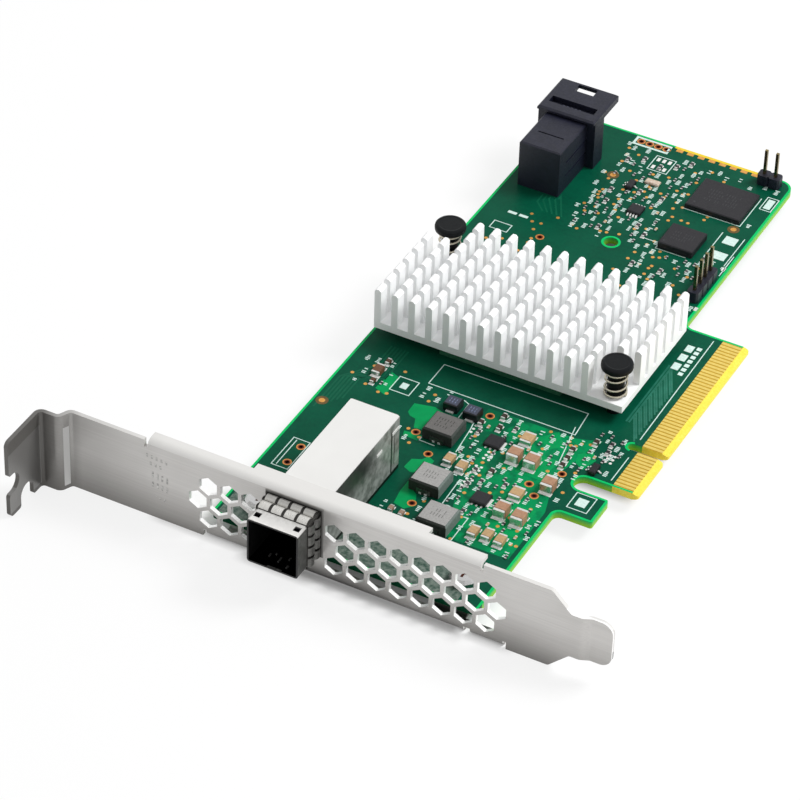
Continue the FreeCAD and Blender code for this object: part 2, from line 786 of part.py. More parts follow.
def external_port_spring_collar():
    """Band round the nose with a row of bowed fingers on each side, bearing on the bracket."""
    z_middle = (nose_bottom + port_top) / 2
    pieces = []
    band_front = face_y - collar_length
    outer = port_section(nose_bottom, port_top, -collar_gap - collar_sheet)
    inner = port_section(nose_bottom, port_top, -collar_gap)
    band = slab(outer, "xz", band_front, band_front + collar_band)
    pieces.append(band.cut(slab(inner, "xz", band_front - overshoot, face_y)))
    sides = [
        (port_width, port_top - z_middle, 0), (port_width, z_middle - nose_bottom, 180),
        (port_top - nose_bottom, port_width / 2, 90), (port_top - nose_bottom, port_width / 2, 270),
    ]
    for length, half_height, turn in sides:
        pitch = (length - 2 * port_corner) / fingers_per_side
        for i in range(fingers_per_side):
            finger = collar_finger(pitch - finger_gap)
            across = (i - (fingers_per_side - 1) / 2) * pitch
            finger.translate(V(across, 0, half_height + collar_gap))
            finger.rotate(V(0, 0, 0), V(0, 1, 0), turn)
            finger.translate(V(port_middle, face_y, z_middle))
            pieces.append(finger)
    return fused(pieces)


def latch_plate():
    """Plate over the mouth: a lip in front, rails under its sides, a toothed window and a pull slot."""
    shroud_width, _, top = socket_shroud
    left = socket_middle - shroud_width / 2
    plate_low = top - latch_plate_thickness
    plate_middle = (socket_middle, (plate_front + latch_edge) / 2)
    plate_size = (shroud_width, latch_plate_length, latch_plate_thickness)
    plate = eased_block(plate_middle, plate_size, plate_low, socket_edge)
    rail_width, rail_depth = latch_rail
    rail_low = plate_low - rail_depth
    rails = []
    for x in (left, left + shroud_width - rail_width):
        rails.append(block(x, x + rail_width, shroud_front, latch_edge, rail_low, plate_low))
    window_front = plate_front + latch_window_setback
    window_middle = (socket_middle, window_front + latch_window[1] / 2)
    window = box_on(window_middle, latch_window + (socket_wall + top,), plate_low - socket_wall)
    pull = box_on((socket_middle, latch_edge - pull_slot_inset), pull_slot + (top,), rail_low)
    tooth_width, tooth_length = latch_tooth
    tooth_size = (tooth_width, tooth_length, latch_plate_thickness - socket_edge)
    teeth = []
    for i in range(latch_teeth):
        x = socket_middle + (i - (latch_teeth - 1) / 2) * latch_tooth_pitch
        middle = (x, window_front + tooth_length / 2)
        teeth.append(box_on(middle, tooth_size, plate_low))
    return fused([fused([plate] + rails).cut([window, pull])] + teeth), window


def internal_port_housing():
    """Moulded socket: a grooved rear block, a taller shroud round the mouth and a latch plate above it."""
    block_width, block_length, block_height = socket_block
    shroud_width, shroud_length, shroud_height = socket_shroud
    left = socket_middle - shroud_width / 2
    right = socket_middle + shroud_width / 2
    plate_low = shroud_height - latch_plate_thickness
    plate, window = latch_plate()
    shroud = block(left, right, shroud_front, shroud_rear, 0, plate_low)
    carrier_middle = (socket_middle, block_front + block_length / 2)
    carrier = eased_block(carrier_middle, socket_block, 0, socket_block_edge)
    groove_middle = (socket_middle, block_front + block_groove_setback)
    groove = box_on(groove_middle, block_groove, block_height - block_groove[2])
    groove_depth, groove_length, groove_height = side_groove
    side = socket_middle + block_width / 2
    cuts = [groove, window]
    for level in side_groove_levels:
        cuts.append(block(
            side - groove_depth, side + overshoot, shroud_front - groove_length, shroud_front,
            level, level + groove_height,
        ))
    inner_half = block_width / 2 - socket_wall
    cuts.append(block(
        socket_middle - inner_half, socket_middle + inner_half,
        shroud_rear - socket_mouth_depth, shroud_rear + overshoot, socket_floor, block_height - socket_wall,
    ))
    cuts.append(block(
        left + socket_wall, right - socket_wall, shroud_front + socket_wall, shroud_rear + overshoot,
        socket_floor, plate_low - socket_wall / 2,
    ))
    return fused([fused([shroud, carrier]).cut(cuts), plate])


def internal_port_tongues():
    """Two contact cards that stand out of the socket's rear wall."""
    width, length, thickness = tongue_card
    rear_wall = shroud_rear - socket_mouth_depth
    cards = []
    for level in tongue_card_levels:
        cards.append(box_on((socket_middle, rear_wall + length / 2), (width, length, thickness), level))
    return Part.makeCompound(cards)


def internal_port_contacts():
    """Contact strips on both faces of the two cards."""
    _, length, thickness = tongue_card
    rear_wall = shroud_rear - socket_mouth_depth
    first = socket_middle - (socket_contacts_per_row - 1) / 2 * socket_contact_pitch
    size = (socket_contact_width, length - 2 * socket_contact_setback, socket_contact_thickness)
    strips = []
    for level in tongue_card_levels:
        for low in (level - socket_contact_thickness, level + thickness):
            for i in range(socket_contacts_per_row):
                middle = (first + i * socket_contact_pitch, rear_wall + length / 2)
                strips.append(box_on(middle, size, low))
    return Part.makeCompound(strips)


def comb_section():
    """Heat sink before it is cross-cut: a base with a row of fins, bevelled along their tops."""
    top = sink_bottom + sink_height
    corners = [(sink_left, sink_bottom, 0), (sink_right, sink_bottom, 0)]
    for i in reversed(range(sink_columns)):
        left = sink_left + i * column_pitch
        right = left + pin_width
        if i < sink_columns - 1:
            corners.append((right, sink_base_top, 0))
        corners.append((right, top - pin_bevel, 0))
        corners.append((right - pin_bevel, top, 0))
        corners.append((left + pin_bevel, top, 0))
        corners.append((left, top - pin_bevel, 0))
        if i > 0:
            corners.append((left, sink_base_top, 0))
    return corners


def heat_sink():
    """Extruded comb cross-cut into pins, with two corners cleared and drilled for the push pins."""
    sink = slab(comb_section(), "xz", sink_front, sink_rear)
    above = sink_bottom + sink_height + overshoot
    row_gap = row_pitch - pin_depth
    column_gap = column_pitch - pin_width
    left = sink_left - overshoot
    right = sink_right + overshoot
    cuts = []
    for i in range(sink_rows - 1):
        start = sink_front + i * row_pitch + pin_depth
        cuts.append(block(left, right, start, start + row_gap, sink_base_top, above))
    width = 2 * corner_half_width + column_gap / 2
    depth = 2 * corner_half_depth + row_gap / 2
    front = (sink_front - overshoot, sink_front + depth)
    rear = (sink_rear - depth, sink_rear + overshoot)
    cuts.append(block(sink_right - width, right, *front, sink_base_top, above))
    cuts.append(block(left, sink_left + width, *rear, sink_base_top, above))
    for x, y in (push_pin_front, push_pin_rear):
        cuts.append(rod(x, y, push_pin_hole, sink_bottom - overshoot, above))
    return sink.cut(cuts)


def push_pin(place):
    """Pin with a mushroom head, a straight shank and a split barbed tip below the board."""
    head_low = sink_base_top + push_pin_head_lift
    head_high = head_low + push_pin_head_height
    barb_low = board_bottom - push_pin_clearance - push_pin_barb_length
    barb_high = board_bottom - push_pin_clearance
    shoulder = sink_base_top + push_pin_neck_gap
    shank = push_pin_shank / 2
    neck = push_pin_neck / 2
    barb = push_pin_barb / 2
    rim = push_pin_head / 2
    edge = push_pin_head_edge
    profile = [
        (0, barb_low, 0), (shank / 2, barb_low, 0), (barb, barb_high - push_pin_barb_land, 0),
        (barb, barb_high, 0), (shank, barb_high, 0), (shank, shoulder, 0), (neck, shoulder, 0),
        (neck, head_low, 0), (rim - edge, head_low, 0), (rim, head_low + edge, 0),
        (rim, head_high - edge, 0), (rim - edge, head_high, 0), (0, head_high, 0),
    ]
    x, y = place
    half = push_pin_split / 2
    split = block(
        x - half, x + half, y - push_pin_barb, y + push_pin_barb, barb_low - overshoot, board_bottom,
    )
    return turned(profile, x, y).cut(split)


def push_pin_spring(place):
    """Coil spring between the heat sink's base and the pin's head."""
    radius = spring_diameter / 2
    wire = spring_wire / 2
    travel = push_pin_head_lift - spring_wire - 2 * spring_end_gap
    helix = Part.makeHelix(travel / spring_turns, travel, radius)
    section = []
    for i in range(spring_facets + 1):
        angle = 2 * math.pi * i / spring_facets
        section.append(V(radius + wire * math.cos(angle), 0, wire * math.sin(angle)))
    coil = Part.Wire(helix.Edges).makePipeShell([Part.makePolygon(section)], True, True)
    coil.translate(V(place[0], place[1], sink_base_top + wire + spring_end_gap))
    return coil


def controller_substrate():
    """Carrier of the controller chip, on the board."""
    return box_on(chip_middle, (chip_side, chip_side, chip_substrate), 0)


def controller_lid():
    """Metal lid of the controller chip."""
    size = (chip_lid_side, chip_lid_side, chip_lid)
    return eased_block(chip_middle, size, chip_substrate, chip_edge)


def thermal_pad_sheet():
    """Soft pad between the chip's lid and the heat sink."""
    size = (thermal_pad_side, thermal_pad_side, thermal_pad)
    return box_on(chip_middle, size, chip_substrate + chip_lid)


def inductor_body(middle):
    """Moulded body of an inductor, standing on its terminals."""
    return eased_block(middle, inductor_size, terminal_sheet, inductor_edge)


def inductor_terminals():
    """Two straps for each inductor, folded from under the body up its sides."""
    straps = []
    half_body = inductor_size[1] / 2
    side = half_body + terminal_sheet
    path = [(half_body - terminal_foot, 0), (side, 0), (side, terminal_height)]
    section = folded_strip(path, terminal_sheet, 0)
    for x, y in inductor_middles:
        for turn in (0, 180):
            strap = slab(section, "yz", -terminal_width / 2, terminal_width / 2)
            strap.rotate(V(0, 0, 0), V(0, 0, 1), turn)
            strap.translate(V(x, y, 0))
            straps.append(strap)
    return Part.makeCompound(straps)


def gull_lead():
    """Formed lead along +Y from a body's side at y = 0, down to the board."""
    path = [(0, lead_level), (lead_shoulder, lead_level), (lead_reach - lead_shoulder, 0), (lead_reach, 0)]
    section = folded_strip(path, lead_sheet, 0)
    return slab(section, "yz", -lead_width / 2, lead_width / 2)


def leads_along(middle, size, pitch, counts, turn):
    """Leads on the two long sides of a small package, turned about its middle."""
    leads = []
    half = size[1] / 2 if turn == 0 else size[0] / 2
    for side, count in zip((0, 180), counts):
        for i in range(count):
            lead = gull_lead()
            lead.translate(V((i - (count - 1) / 2) * pitch, half, 0))
            lead.rotate(V(0, 0, 0), V(0, 0, 1), side + turn)
            lead.translate(V(middle[0], middle[1], 0))
            leads.append(lead)
    return leads


def header_base(middle, pins, direction):
    """Header insulator: one bevelled block for each post, joined in a row, with a bore for each post."""
    cells = []
    bores = []
    bore = (header_post, header_post, header_base_height + 2 * overshoot)
    for place in header_places(middle, pins, direction):
        cell = box_on((place.x, place.y), (header_pitch, header_pitch, header_base_height), 0)
        upright = [e for e in cell.Edges if abs(e.Vertexes[0].Z - e.Vertexes[-1].Z) > tolerance]
        cells.append(cell.makeChamfer(header_chamfer, upright))
        bores.append(box_on((place.x, place.y), bore, -overshoot))
    return fused(cells).cut(bores)


def header_posts(middle, pins, direction):
    """Square posts of a header, from their solder tails to their tips."""
    low = board_bottom - header_post_tail
    size = (header_post, header_post, header_post_top - low)
    places = header_places(middle, pins, direction)
    return Part.makeCompound([box_on((place.x, place.y), size, low) for place in places])


def chip_parts(middles, size):
    """Bodies and end caps of one kind of two-ended chip part, lying along Y."""
    length, width, height, cap = size
    bodies = []
    caps = []
    for x, y in middles:
        bodies.append(box_on((x, y), (width, length - 2 * cap, height), 0))
        for side in (-1, 1):
            caps.append(box_on((x, y + side * (length - cap) / 2), (width, cap, height), 0))
    return Part.makeCompound(bodies), Part.makeCompound(caps)


def all_pieces():
    """Every piece of the adapter by its node's name."""
    sensor = from_rear(sensor_place)
    sensor_pins = leads_along(sensor, sensor_size, sensor_lead_pitch, sensor_leads, 0)
    pieces = {
        "circuit_board": circuit_board(),
        "edge_contacts_top": edge_contacts(0, contact_thickness),
        "edge_contacts_bottom": edge_contacts(board_bottom - contact_thickness, board_bottom),
        "bracket": bracket(),
        "bracket_screws": bracket_screws(),
        "external_port_cage": external_port_cage(),
        "external_port_housing": external_port_housing(),
        "external_port_contacts": external_port_contacts(),
        "external_port_spring_collar": external_port_spring_collar(),
        "internal_port_housing": internal_port_housing(),
        "internal_port_tongues": internal_port_tongues(),
        "internal_port_contacts": internal_port_contacts(),
        "controller_substrate": controller_substrate(),
        "controller_lid": controller_lid(),
        "thermal_pad": thermal_pad_sheet(),
        "heat_sink": heat_sink(),
        "push_pin_front": push_pin(push_pin_front),
        "push_pin_rear": push_pin(push_pin_rear),
        "push_pin_spring_front": push_pin_spring(push_pin_front),
        "push_pin_spring_rear": push_pin_spring(push_pin_rear),
        "inductor_terminals": inductor_terminals(),
        "memory_chip": eased_block(from_rear(memory_place), memory_size, 0, chip_edge),
        "flash_chip": eased_block(from_rear(flash_place), flash_size, 0, chip_edge),
        "sensor_chip": eased_block(sensor, sensor_size, 0, chip_edge),
        "sensor_chip_leads": Part.makeCompound(sensor_pins),
        "resistor_array": eased_block(from_rear(array_place), array_size, 0, chip_edge),
    }
    for i, middle in enumerate(inductor_middles):
        pieces["inductor_%d" % (i + 1)] = inductor_body(middle)
    for i, middle in enumerate(tantalum_middles):
        pieces["tantalum_capacitor_%d" % (i + 1)] = eased_block(middle, tantalum_size, 0, chip_edge)
    for i, middle in enumerate(regulator_middles):
        pieces["regulator_chip_%d" % (i + 1)] = eased_block(middle, regulator_size, 0, chip_edge)
    transistor_leads = []
    for i, middle in enumerate([front_transistor, from_rear(rear_transistor_place)]):
        pieces["transistor_%d" % (i + 1)] = eased_block(middle, transistor_size, 0, chip_edge)
        transistor_leads += leads_along(
            middle, transistor_size, transistor_lead_pitch, transistor_lead_counts, 90,
        )
    pieces["transistor_leads"] = Part.makeCompound(transistor_leads)
    headers = [
        ("rear_header", rear_header, rear_header_pins, V(1, 0, 0)),
        ("side_header", side_header, side_header_pins, V(0, 1, 0)),
    ]
    for name, middle, pins, direction in headers:
        pieces[name + "_base"] = header_base(middle, pins, direction)
        pieces[name + "_posts"] = header_posts(middle, pins, direction)
    resistors = front_resistors + [from_rear(place) for place in rear_resistor_places]
    kinds = [
        ("tall_capacitor", tall_capacitors, tall_capacitor_size),
        ("flat_capacitor", flat_capacitors, flat_capacitor_size),
        ("medium_capacitor", medium_capacitors, medium_capacitor_size),
        ("small_capacitor", small_capacitors, small_capacitor_size),
        ("resistor", resistors, resistor_size),
    ]
    for name, middles, size in kinds:
        bodies, caps = chip_parts(middles, size)
        pieces[name + "_bodies"] = bodies
        pieces[name + "_end_caps"] = caps
    return pieces


os.makedirs("parts", exist_ok=True)
for node, shape in all_pieces().items():
    shape.exportStep("parts/" + node + ".step")
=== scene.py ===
import math
from functools import partialmethod, reduce
from operator import or_

import bpy
import numpy as np
from mathutils import Matrix, Vector


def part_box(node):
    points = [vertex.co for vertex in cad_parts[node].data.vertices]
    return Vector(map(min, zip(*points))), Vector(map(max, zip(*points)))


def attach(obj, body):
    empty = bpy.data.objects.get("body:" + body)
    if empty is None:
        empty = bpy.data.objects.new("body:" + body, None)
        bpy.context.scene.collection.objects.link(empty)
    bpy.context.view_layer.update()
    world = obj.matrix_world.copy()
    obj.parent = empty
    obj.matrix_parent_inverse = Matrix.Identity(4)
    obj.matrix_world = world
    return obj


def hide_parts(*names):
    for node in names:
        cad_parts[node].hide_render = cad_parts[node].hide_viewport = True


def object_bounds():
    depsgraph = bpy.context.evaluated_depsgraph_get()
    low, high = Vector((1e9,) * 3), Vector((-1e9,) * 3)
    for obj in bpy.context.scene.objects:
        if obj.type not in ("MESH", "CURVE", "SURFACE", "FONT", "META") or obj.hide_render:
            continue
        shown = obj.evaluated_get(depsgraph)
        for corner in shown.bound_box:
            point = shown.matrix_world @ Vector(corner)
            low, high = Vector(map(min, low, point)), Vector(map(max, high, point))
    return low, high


# Looks of a plug-in adapter card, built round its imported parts.
# Lengths are millimetres in the card's own frame, and become metres where a mesh, lamp or camera is made.

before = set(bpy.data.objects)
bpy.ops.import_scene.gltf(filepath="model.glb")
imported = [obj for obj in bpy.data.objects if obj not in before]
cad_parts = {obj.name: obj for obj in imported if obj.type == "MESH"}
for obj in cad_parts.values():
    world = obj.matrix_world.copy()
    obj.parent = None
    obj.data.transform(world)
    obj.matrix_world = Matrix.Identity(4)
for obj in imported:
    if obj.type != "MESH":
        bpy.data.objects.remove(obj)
cad_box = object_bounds()

MM = 0.001
BLACK = (0, 0, 0)
draw = np.random.default_rng(11)

# Camera, solved from the photograph
view_turn = 26.88             # degrees from the bracket's face towards the contact edge
view_rise = 39.23
view_roll = 1.86
view_distance = 806.54
view_target = (-40, 25, 0)
view_offset = (28.23, 14.87)  # target's place right of and above the middle of the picture
lens_pixels = 3986.73
picture_width = 800
sensor_width = 36.0
view_reach = 20.0             # metres

# Studio
floor_size = 3000.0
floor_whiteness = 0.82
covered_whiteness = 0.06      # under the card
shade_blur = 1.6
# Where the card lies over the floor: low and high limits along X, then along Y
card_footprint = [(-68, -15, -60, 93), (-15, -2.5, -10.5, 36), (-80, -4, -60, -47),
                  (-60, -14, -62, -58)]
dome_brightest = (0.5, 0.5, 0.71)
dome_spread = 0.9
dome_levels = (0, 0.98)
key_place = (400, 340, 640)
key_aim = (-40, 10, 0)
key_size = 300
key_power = 5.8               # watts

# Heights of the board's dressing: pieces that overlap in plan stand at different ones
field_height = 0.01
mask_height = 0.02            # copper under solder mask
hole_shade_height = 0.022
lane_height = 0.024
mark_height = 0.0255
well_height = 0.026
silk_height = 0.03

# Board dressing
silk_width = 0.20
trace_width = 0.36
lane_width = 0.40
rim_width = 0.50              # bare laminate round the board's outline, bright as a painted edge highlight
small_hole_limit = 1.30       # holes below this are plated
large_hole_limit = 10.0       # loops above this are the board's outline
contact_zone_start = -13.2
plated_edge = (-42.4, -21.9)  # gold stretch of the rear edge, along X
via_diameter = 0.80
clearing_diameter = 2.6
fiducial_diameter = 1.3
bold_width = 0.55
hole_radius = 0.49
land_radius = 0.94
well_radius = 0.679
inner_radius = 0.42           # inside a hole's plating
ring_sides = 16

# Small parts
pad_margin = 0.12             # bare pad that shows round an end cap
fillet_rise = 0.20            # share of an end cap's height
fillet_run = 0.15             # beyond an end cap's bevel
pad_out = 0.45                # how far a bare end pad comes out from under a body
pad_under = 0.10
lead_half = 0.20              # regulators
lead_top = 0.16
lug_half = 0.85               # tantalum capacitors
lug_top = 0.30
tiny_body = (0.26, 0.3, 0.33)
tiny_cap = 0.22

# Printed marks and chip markings
mark_count = 4
mark_pitch = 0.44
mark_half = 0.14
mark_lengths = (0.55, 1.05)
mark_share = 0.86             # of the marks in a row that are there
mark_edge = 0.008
stroke_lengths = (0.25, 0.40)  # half lengths, as shares of the row pitch
stroke_share = 0.80
stroke_sides = (0.12, 0.16)   # as shares of the pitch
stroke_sink = 0.004
stroke_rise = 0.012
stroke_edge = 0.004

# Stamped marks
stamp_pitch = 1.05
stamp_drop = 0.12             # from one stroke to the next
stamp_width = 0.42

# Push pins and springs
wire_diameter = 0.50
coil_share = 0.84             # of the room its place has
coil_turns = 4.5
coil_flatness = 0.75          # of the end turns; 1 is level
coil_sides = 10
turn_steps = 26
pin_sides = 40

# Spring collar
finger_lift = 0.10
finger_rise = 0.62
finger_power = 0.6            # under 1, for a full bow
finger_sheet = 0.14
finger_gap = 0.62
finger_steps = 13
fingers_per_row = 4
finger_rows = [(0.02, 0.42), (0.48, 0.5)]  # start and length, as shares of the collar's length
collar_clear = 1.05
band_levels = (0.02, 0.12)    # above the level that the fingers are set at


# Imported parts


def box_of(node):
    """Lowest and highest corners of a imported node."""
    low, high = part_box(node)
    return np.array(low) / MM, np.array(high) / MM


def triangles_of(node):
    """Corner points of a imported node's triangles, as an array of triangles, corners and axes."""
    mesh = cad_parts[node].data
    mesh.calc_loop_triangles()
    points = np.empty(len(mesh.vertices) * 3)
    mesh.vertices.foreach_get("co", points)
    corners = np.empty(len(mesh.loop_triangles) * 3, dtype=int)
    mesh.loop_triangles.foreach_get("vertices", corners)
    return points.reshape(-1, 3)[corners].reshape(-1, 3, 3) / MM


def numbered(points):
    """Distinct points to a micrometre, and the number of each given point among them."""
    distinct, numbers = np.unique(np.round(points, 3), axis=0, return_inverse=True)
    return distinct, numbers.reshape(-1)


def groups(count, links):
    """Group number of each of count items: every item takes the lowest number among the items it is
    linked with, over and over, until nothing changes."""
    label = np.arange(count)
    while True:
        lowest = label[links].min(axis=1)
        new = label.copy()
        np.minimum.at(new, links.ravel(), np.repeat(lowest, links.shape[1]))
        if np.array_equal(new, label):
            return np.unique(label, return_inverse=True)[1].reshape(-1)
        label = new


def extents(points, label):
    """Lowest and highest corners of each group of points."""
    lows = np.full((label.max() + 1, points.shape[1]), np.inf)
    highs = -lows
    np.minimum.at(lows, label, points)
    np.maximum.at(highs, label, points)
    return lows, highs


def solid_boxes(node):
    """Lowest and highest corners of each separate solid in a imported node."""
    points, numbers = numbered(triangles_of(node).reshape(-1, 3))
    return extents(points, groups(len(points), numbers.reshape(-1, 3)))


def edge_of_face(node, level):
    """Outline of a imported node's flat face at a level: its points, the start and end number of each edge
    with the material on the left as seen from above, and the size and middle of the loop that it is in."""
    corners = triangles_of(node)
    flat = corners[np.all(np.abs(corners[:, :, 2] - level) < 1e-3, axis=1)][:, :, :2]
    first, second = (flat[:, i] - flat[:, 0] for i in (1, 2))
    clockwise = first[:, 0] * second[:, 1] < first[:, 1] * second[:, 0]
    flat[clockwise] = flat[clockwise, ::-1]
    points, numbers = numbered(flat.reshape(-1, 2))
    numbers = numbers.reshape(-1, 3)
    edges = np.vstack([numbers[:, [0, 1]], numbers[:, [1, 2]], numbers[:, [2, 0]]])
    key = edges[:, 0] * len(points) + edges[:, 1]
    back = edges[:, 1] * len(points) + edges[:, 0]
    edges = edges[~np.isin(key, back)]
    label = groups(len(points), edges)[edges[:, 0]]
    lows, highs = extents(points[edges[:, 0]], label)
    return points, edges, (highs - lows).max(axis=1)[label], ((lows + highs) / 2)[label]


# Shapes: a shape is a pair, an array of points and a list of blocks, each an array of faces by corners


def joined(shapes):
    """Several shapes as one: each shape's corner numbers are moved past the points before it."""
    points = []
    blocks = []
    start = 0
    for shape_points, shape_blocks in shapes:
        points.append(shape_points)
        blocks += [block + start for block in shape_blocks]
        start += len(shape_points)
    return np.vstack(points), blocks


def copied(blocks, count, step):
    """Blocks of faces for copies of a shape, each copy's corner numbers one step past the copy before it."""
    starts = np.arange(count)[:, None, None] * step
    return [(block + starts).reshape(-1, block.shape[1]) for block in blocks]


def repeated(shape, places):
    """Copies of a shape, each moved by a place (x, y, z)."""
    points, blocks = shape
    places = np.asarray(places, dtype=float).reshape(-1, 1, 3)
    return (places + points).reshape(-1, 3), copied(blocks, len(places), len(points))


def at_level(places, level):
    """Places on the board with a level added to each."""
    places = np.asarray(places, dtype=float)
    return np.column_stack([places, np.full(len(places), level)])


def lofted(rows, closed=False):
    """Skin over rows of section points, from row to row and round each row. Open rows end in flat faces, and
    closed ones run from the last row back to the first."""
    rows = np.asarray(rows, dtype=float)
    cells = np.arange(rows.shape[0] * rows.shape[1]).reshape(rows.shape[:2])
    after = np.roll(cells, -1, axis=0)
    quads = np.stack([cells, np.roll(cells, -1, axis=1), np.roll(after, -1, axis=1), after], axis=-1)
    if closed:
        return rows.reshape(-1, 3), [quads.reshape(-1, 4)]
    return rows.reshape(-1, 3), [quads[:-1].reshape(-1, 4), cells[:1, ::-1], cells[-1:]]


def prism(outline, low, high):
    """Outline (x, y) carried straight up from one level to another; a clockwise one is reversed first."""
    outline = np.asarray(outline, dtype=float)
    following = np.roll(outline, -1, axis=0)
    if (outline[:, 0] * following[:, 1] - outline[:, 1] * following[:, 0]).sum() < 0:
        outline = outline[::-1]
    return lofted([at_level(outline, level) for level in (low, high)])


def polygon(diameter, sides):
    """Corners of a regular polygon round the origin, half a step turned."""
    angles = (np.arange(sides) + 0.5) * 2 * np.pi / sides
    return np.column_stack([np.cos(angles), np.sin(angles)]) * diameter / 2


def rectangle(x_low, x_high, y_low, y_high):
    """Corners of a rectangle, anticlockwise."""
    return [(x_low, y_low), (x_high, y_low), (x_high, y_high), (x_low, y_high)]


def on_board(outline, places, top, base=0):
    """Flat prisms of one outline between two levels, at places (x, y); level 0 is the board's upper face."""
    return repeated(prism(outline, base, top), at_level(places, 0))


def turned(profile, sides, closed=False):
    """Profile (radius, level) turned about the upright axis: the point at angle a is (radius cos a,
    radius sin a, level). An open profile ends in flat discs, a closed one is a ring."""
    radius, level = np.asarray(profile, dtype=float).T[:, :, None]
    angles = np.arange(sides) * 2 * np.pi / sides
    rows = np.broadcast_arrays(radius * np.cos(angles), radius * np.sin(angles), level)
    return lofted(np.stack(rows, axis=-1), closed)


def ring(inner, outer, low, high):
    """Flat ring or tube between two radii and two levels."""
    return turned([(inner, low), (outer, low), (outer, high), (inner, high)], ring_sides, True)


def left_sides(runs):
    """Unit steps to the left of runs (x, y)."""
    return np.column_stack([-runs[:, 1], runs[:, 0]]) / np.linalg.norm(runs, axis=1, keepdims=True)


def bisected(before, after):
    """Steps that lie one unit to the left of two runs at once: the sum of their left sides, divided by one
    plus their scalar product."""
    return (before + after) / (1 + (before * after).sum(axis=1, keepdims=True))


def stroke(route, width, high, closed=False):
    """Line of a width along a route (x, y), as a flat bar on the board: each point is moved to both sides
    along the bisector of the two runs that meet there, so that corners are mitred."""
    route = np.asarray(route, dtype=float)
    lefts = left_sides(np.roll(route, -1, axis=0) - route)
    before = np.roll(lefts, 1, axis=0)
    if not closed:
        before[0] = lefts[0]
        lefts[-1] = before[-1]
    out = bisected(before, lefts) * width / 2
    corners = [(-1, 0), (1, 0), (1, high), (-1, high)]
    return lofted(np.stack([at_level(route + side * out, level) for side, level in corners], axis=1), closed)


def rim(points, edges, level, lift, width):
    """Flat band on the material side of outline edges: each outline point is moved inwards along the
    bisector of its two edges, and the band is closed between its two levels and at its ends."""
    leaving, arriving = np.zeros((2, len(points), 2))
    leaving[edges[:, 0]] = arriving[edges[:, 1]] = left_sides(points[edges[:, 1]] - points[edges[:, 0]])
    inner = points + bisected(leaving, arriving) * width
    used, numbers = np.unique(edges, return_inverse=True)
    a, b = 4 * numbers.reshape(-1, 2).T
    low, high = sorted((level, level + lift))
    corners = [(points, low), (inner, low), (inner, high), (points, high)]
    solid = np.stack([at_level(places[used], z) for places, z in corners], axis=1).reshape(-1, 3)
    bands = [np.column_stack([a + i, b + i, b + j, a + j]) for i, j in ((0, 3), (3, 2), (2, 1), (1, 0))]
    ends = [np.setdiff1d(a, b)[:, None] + (0, 3, 2, 1), np.setdiff1d(b, a)[:, None] + (0, 1, 2, 3)]
    return solid, bands + ends


CORNER_SIGNS = np.array([(x, y, z) for x in (-1, 1) for y in (-1, 1) for z in (-1, 1)], dtype=float)
BEVELLED_POINTS = 24


def bevelled_faces():
    """Faces of a bevelled box whose point 3 c + a lies at corner c on the face across axis a: one quad on
    each side, one along each edge and one triangle at each corner, all wound to face outwards."""
    quads = []
    for axis in range(3):
        first, second = (other for other in range(3) if other != axis)
        step = 4 >> axis
        starts = [c for c in range(8) if not c & step]
        for side in (starts, [c + step for c in starts]):
            quads.append([3 * side[i] + axis for i in (0, 1, 3, 2)])
        quads += [[3 * c + first, 3 * (c + step) + first, 3 * (c + step) + second, 3 * c + second]
                  for c in starts]
    unit = (CORNER_SIGNS[:, None] * (2 + np.eye(3))).reshape(-1, 3)
    outward = []
    for block in (np.array(quads), np.arange(BEVELLED_POINTS).reshape(-1, 3)):
        a, b, c = unit[block[:, :3]].swapaxes(0, 1)
        inside_out = (np.cross(b - a, c - b) * unit[block].mean(axis=1)).sum(axis=1) < 0
        block[inside_out] = block[inside_out, ::-1]
        outward.append(block)
    return outward


BEVELLED = bevelled_faces()


def boxes(lows, highs, edge):
    """Bevelled boxes between lowest and highest corners: each point is the middle plus the corner's signs
    times half the size less the edge, plus the edge again on one axis."""
    lows, highs = (np.asarray(corners, dtype=float).reshape(-1, 1, 1, 3) for corners in (lows, highs))
    reach = (highs - lows) / 2 - edge + edge * np.eye(3)
    points = (lows + highs) / 2 + CORNER_SIGNS[:, None] * reach
    return points.reshape(-1, 3), copied(BEVELLED, len(lows), BEVELLED_POINTS)


def flat_bars(x_low, x_high, y_low, y_high, low, high, edge):
    """Bevelled bars from arrays of their limits along X and Y, all between the same two levels."""
    lows = at_level(np.column_stack([x_low, y_low]), low)
    return boxes(lows, at_level(np.column_stack([x_high, y_high]), high), edge)


def slabs(pairs, edge):
    """Bevelled boxes, each given as a pair of its lowest and highest corners."""
    return boxes(*np.swapaxes(pairs, 0, 1), edge)


def wedge(low, high, sign, run):
    """Solder fillet at one end of a box: a triangle, as high as a share of the box at its end face and
    running out to nothing, carried across the box's width."""
    end = high[1] if sign > 0 else low[1]
    top = low[2] + (high[2] - low[2]) * fillet_rise
    section = [(end, low[2]), (end + sign * run, low[2]), (end, top)][::sign]
    return lofted([[(x, *point) for point in section] for x in (low[0], high[0])])


finishes = {}


def put(name, shape, finish, stands_for=(), smooth=False):
    """Makes one piece of the card from a shape."""
    points, blocks = shape
    mesh = bpy.data.meshes.new(name)
    mesh.from_pydata((points * MM).tolist(), [], [face for block in blocks for face in block.tolist()])
    mesh.polygons.foreach_set("use_smooth", np.full(len(mesh.polygons), smooth))
    mesh.materials.append(finishes[finish])
    piece = bpy.data.objects.new(name, mesh)
    bpy.context.scene.collection.objects.link(piece)
    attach(piece, "root")
    if stands_for:
        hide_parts(*stands_for)


# Finishes


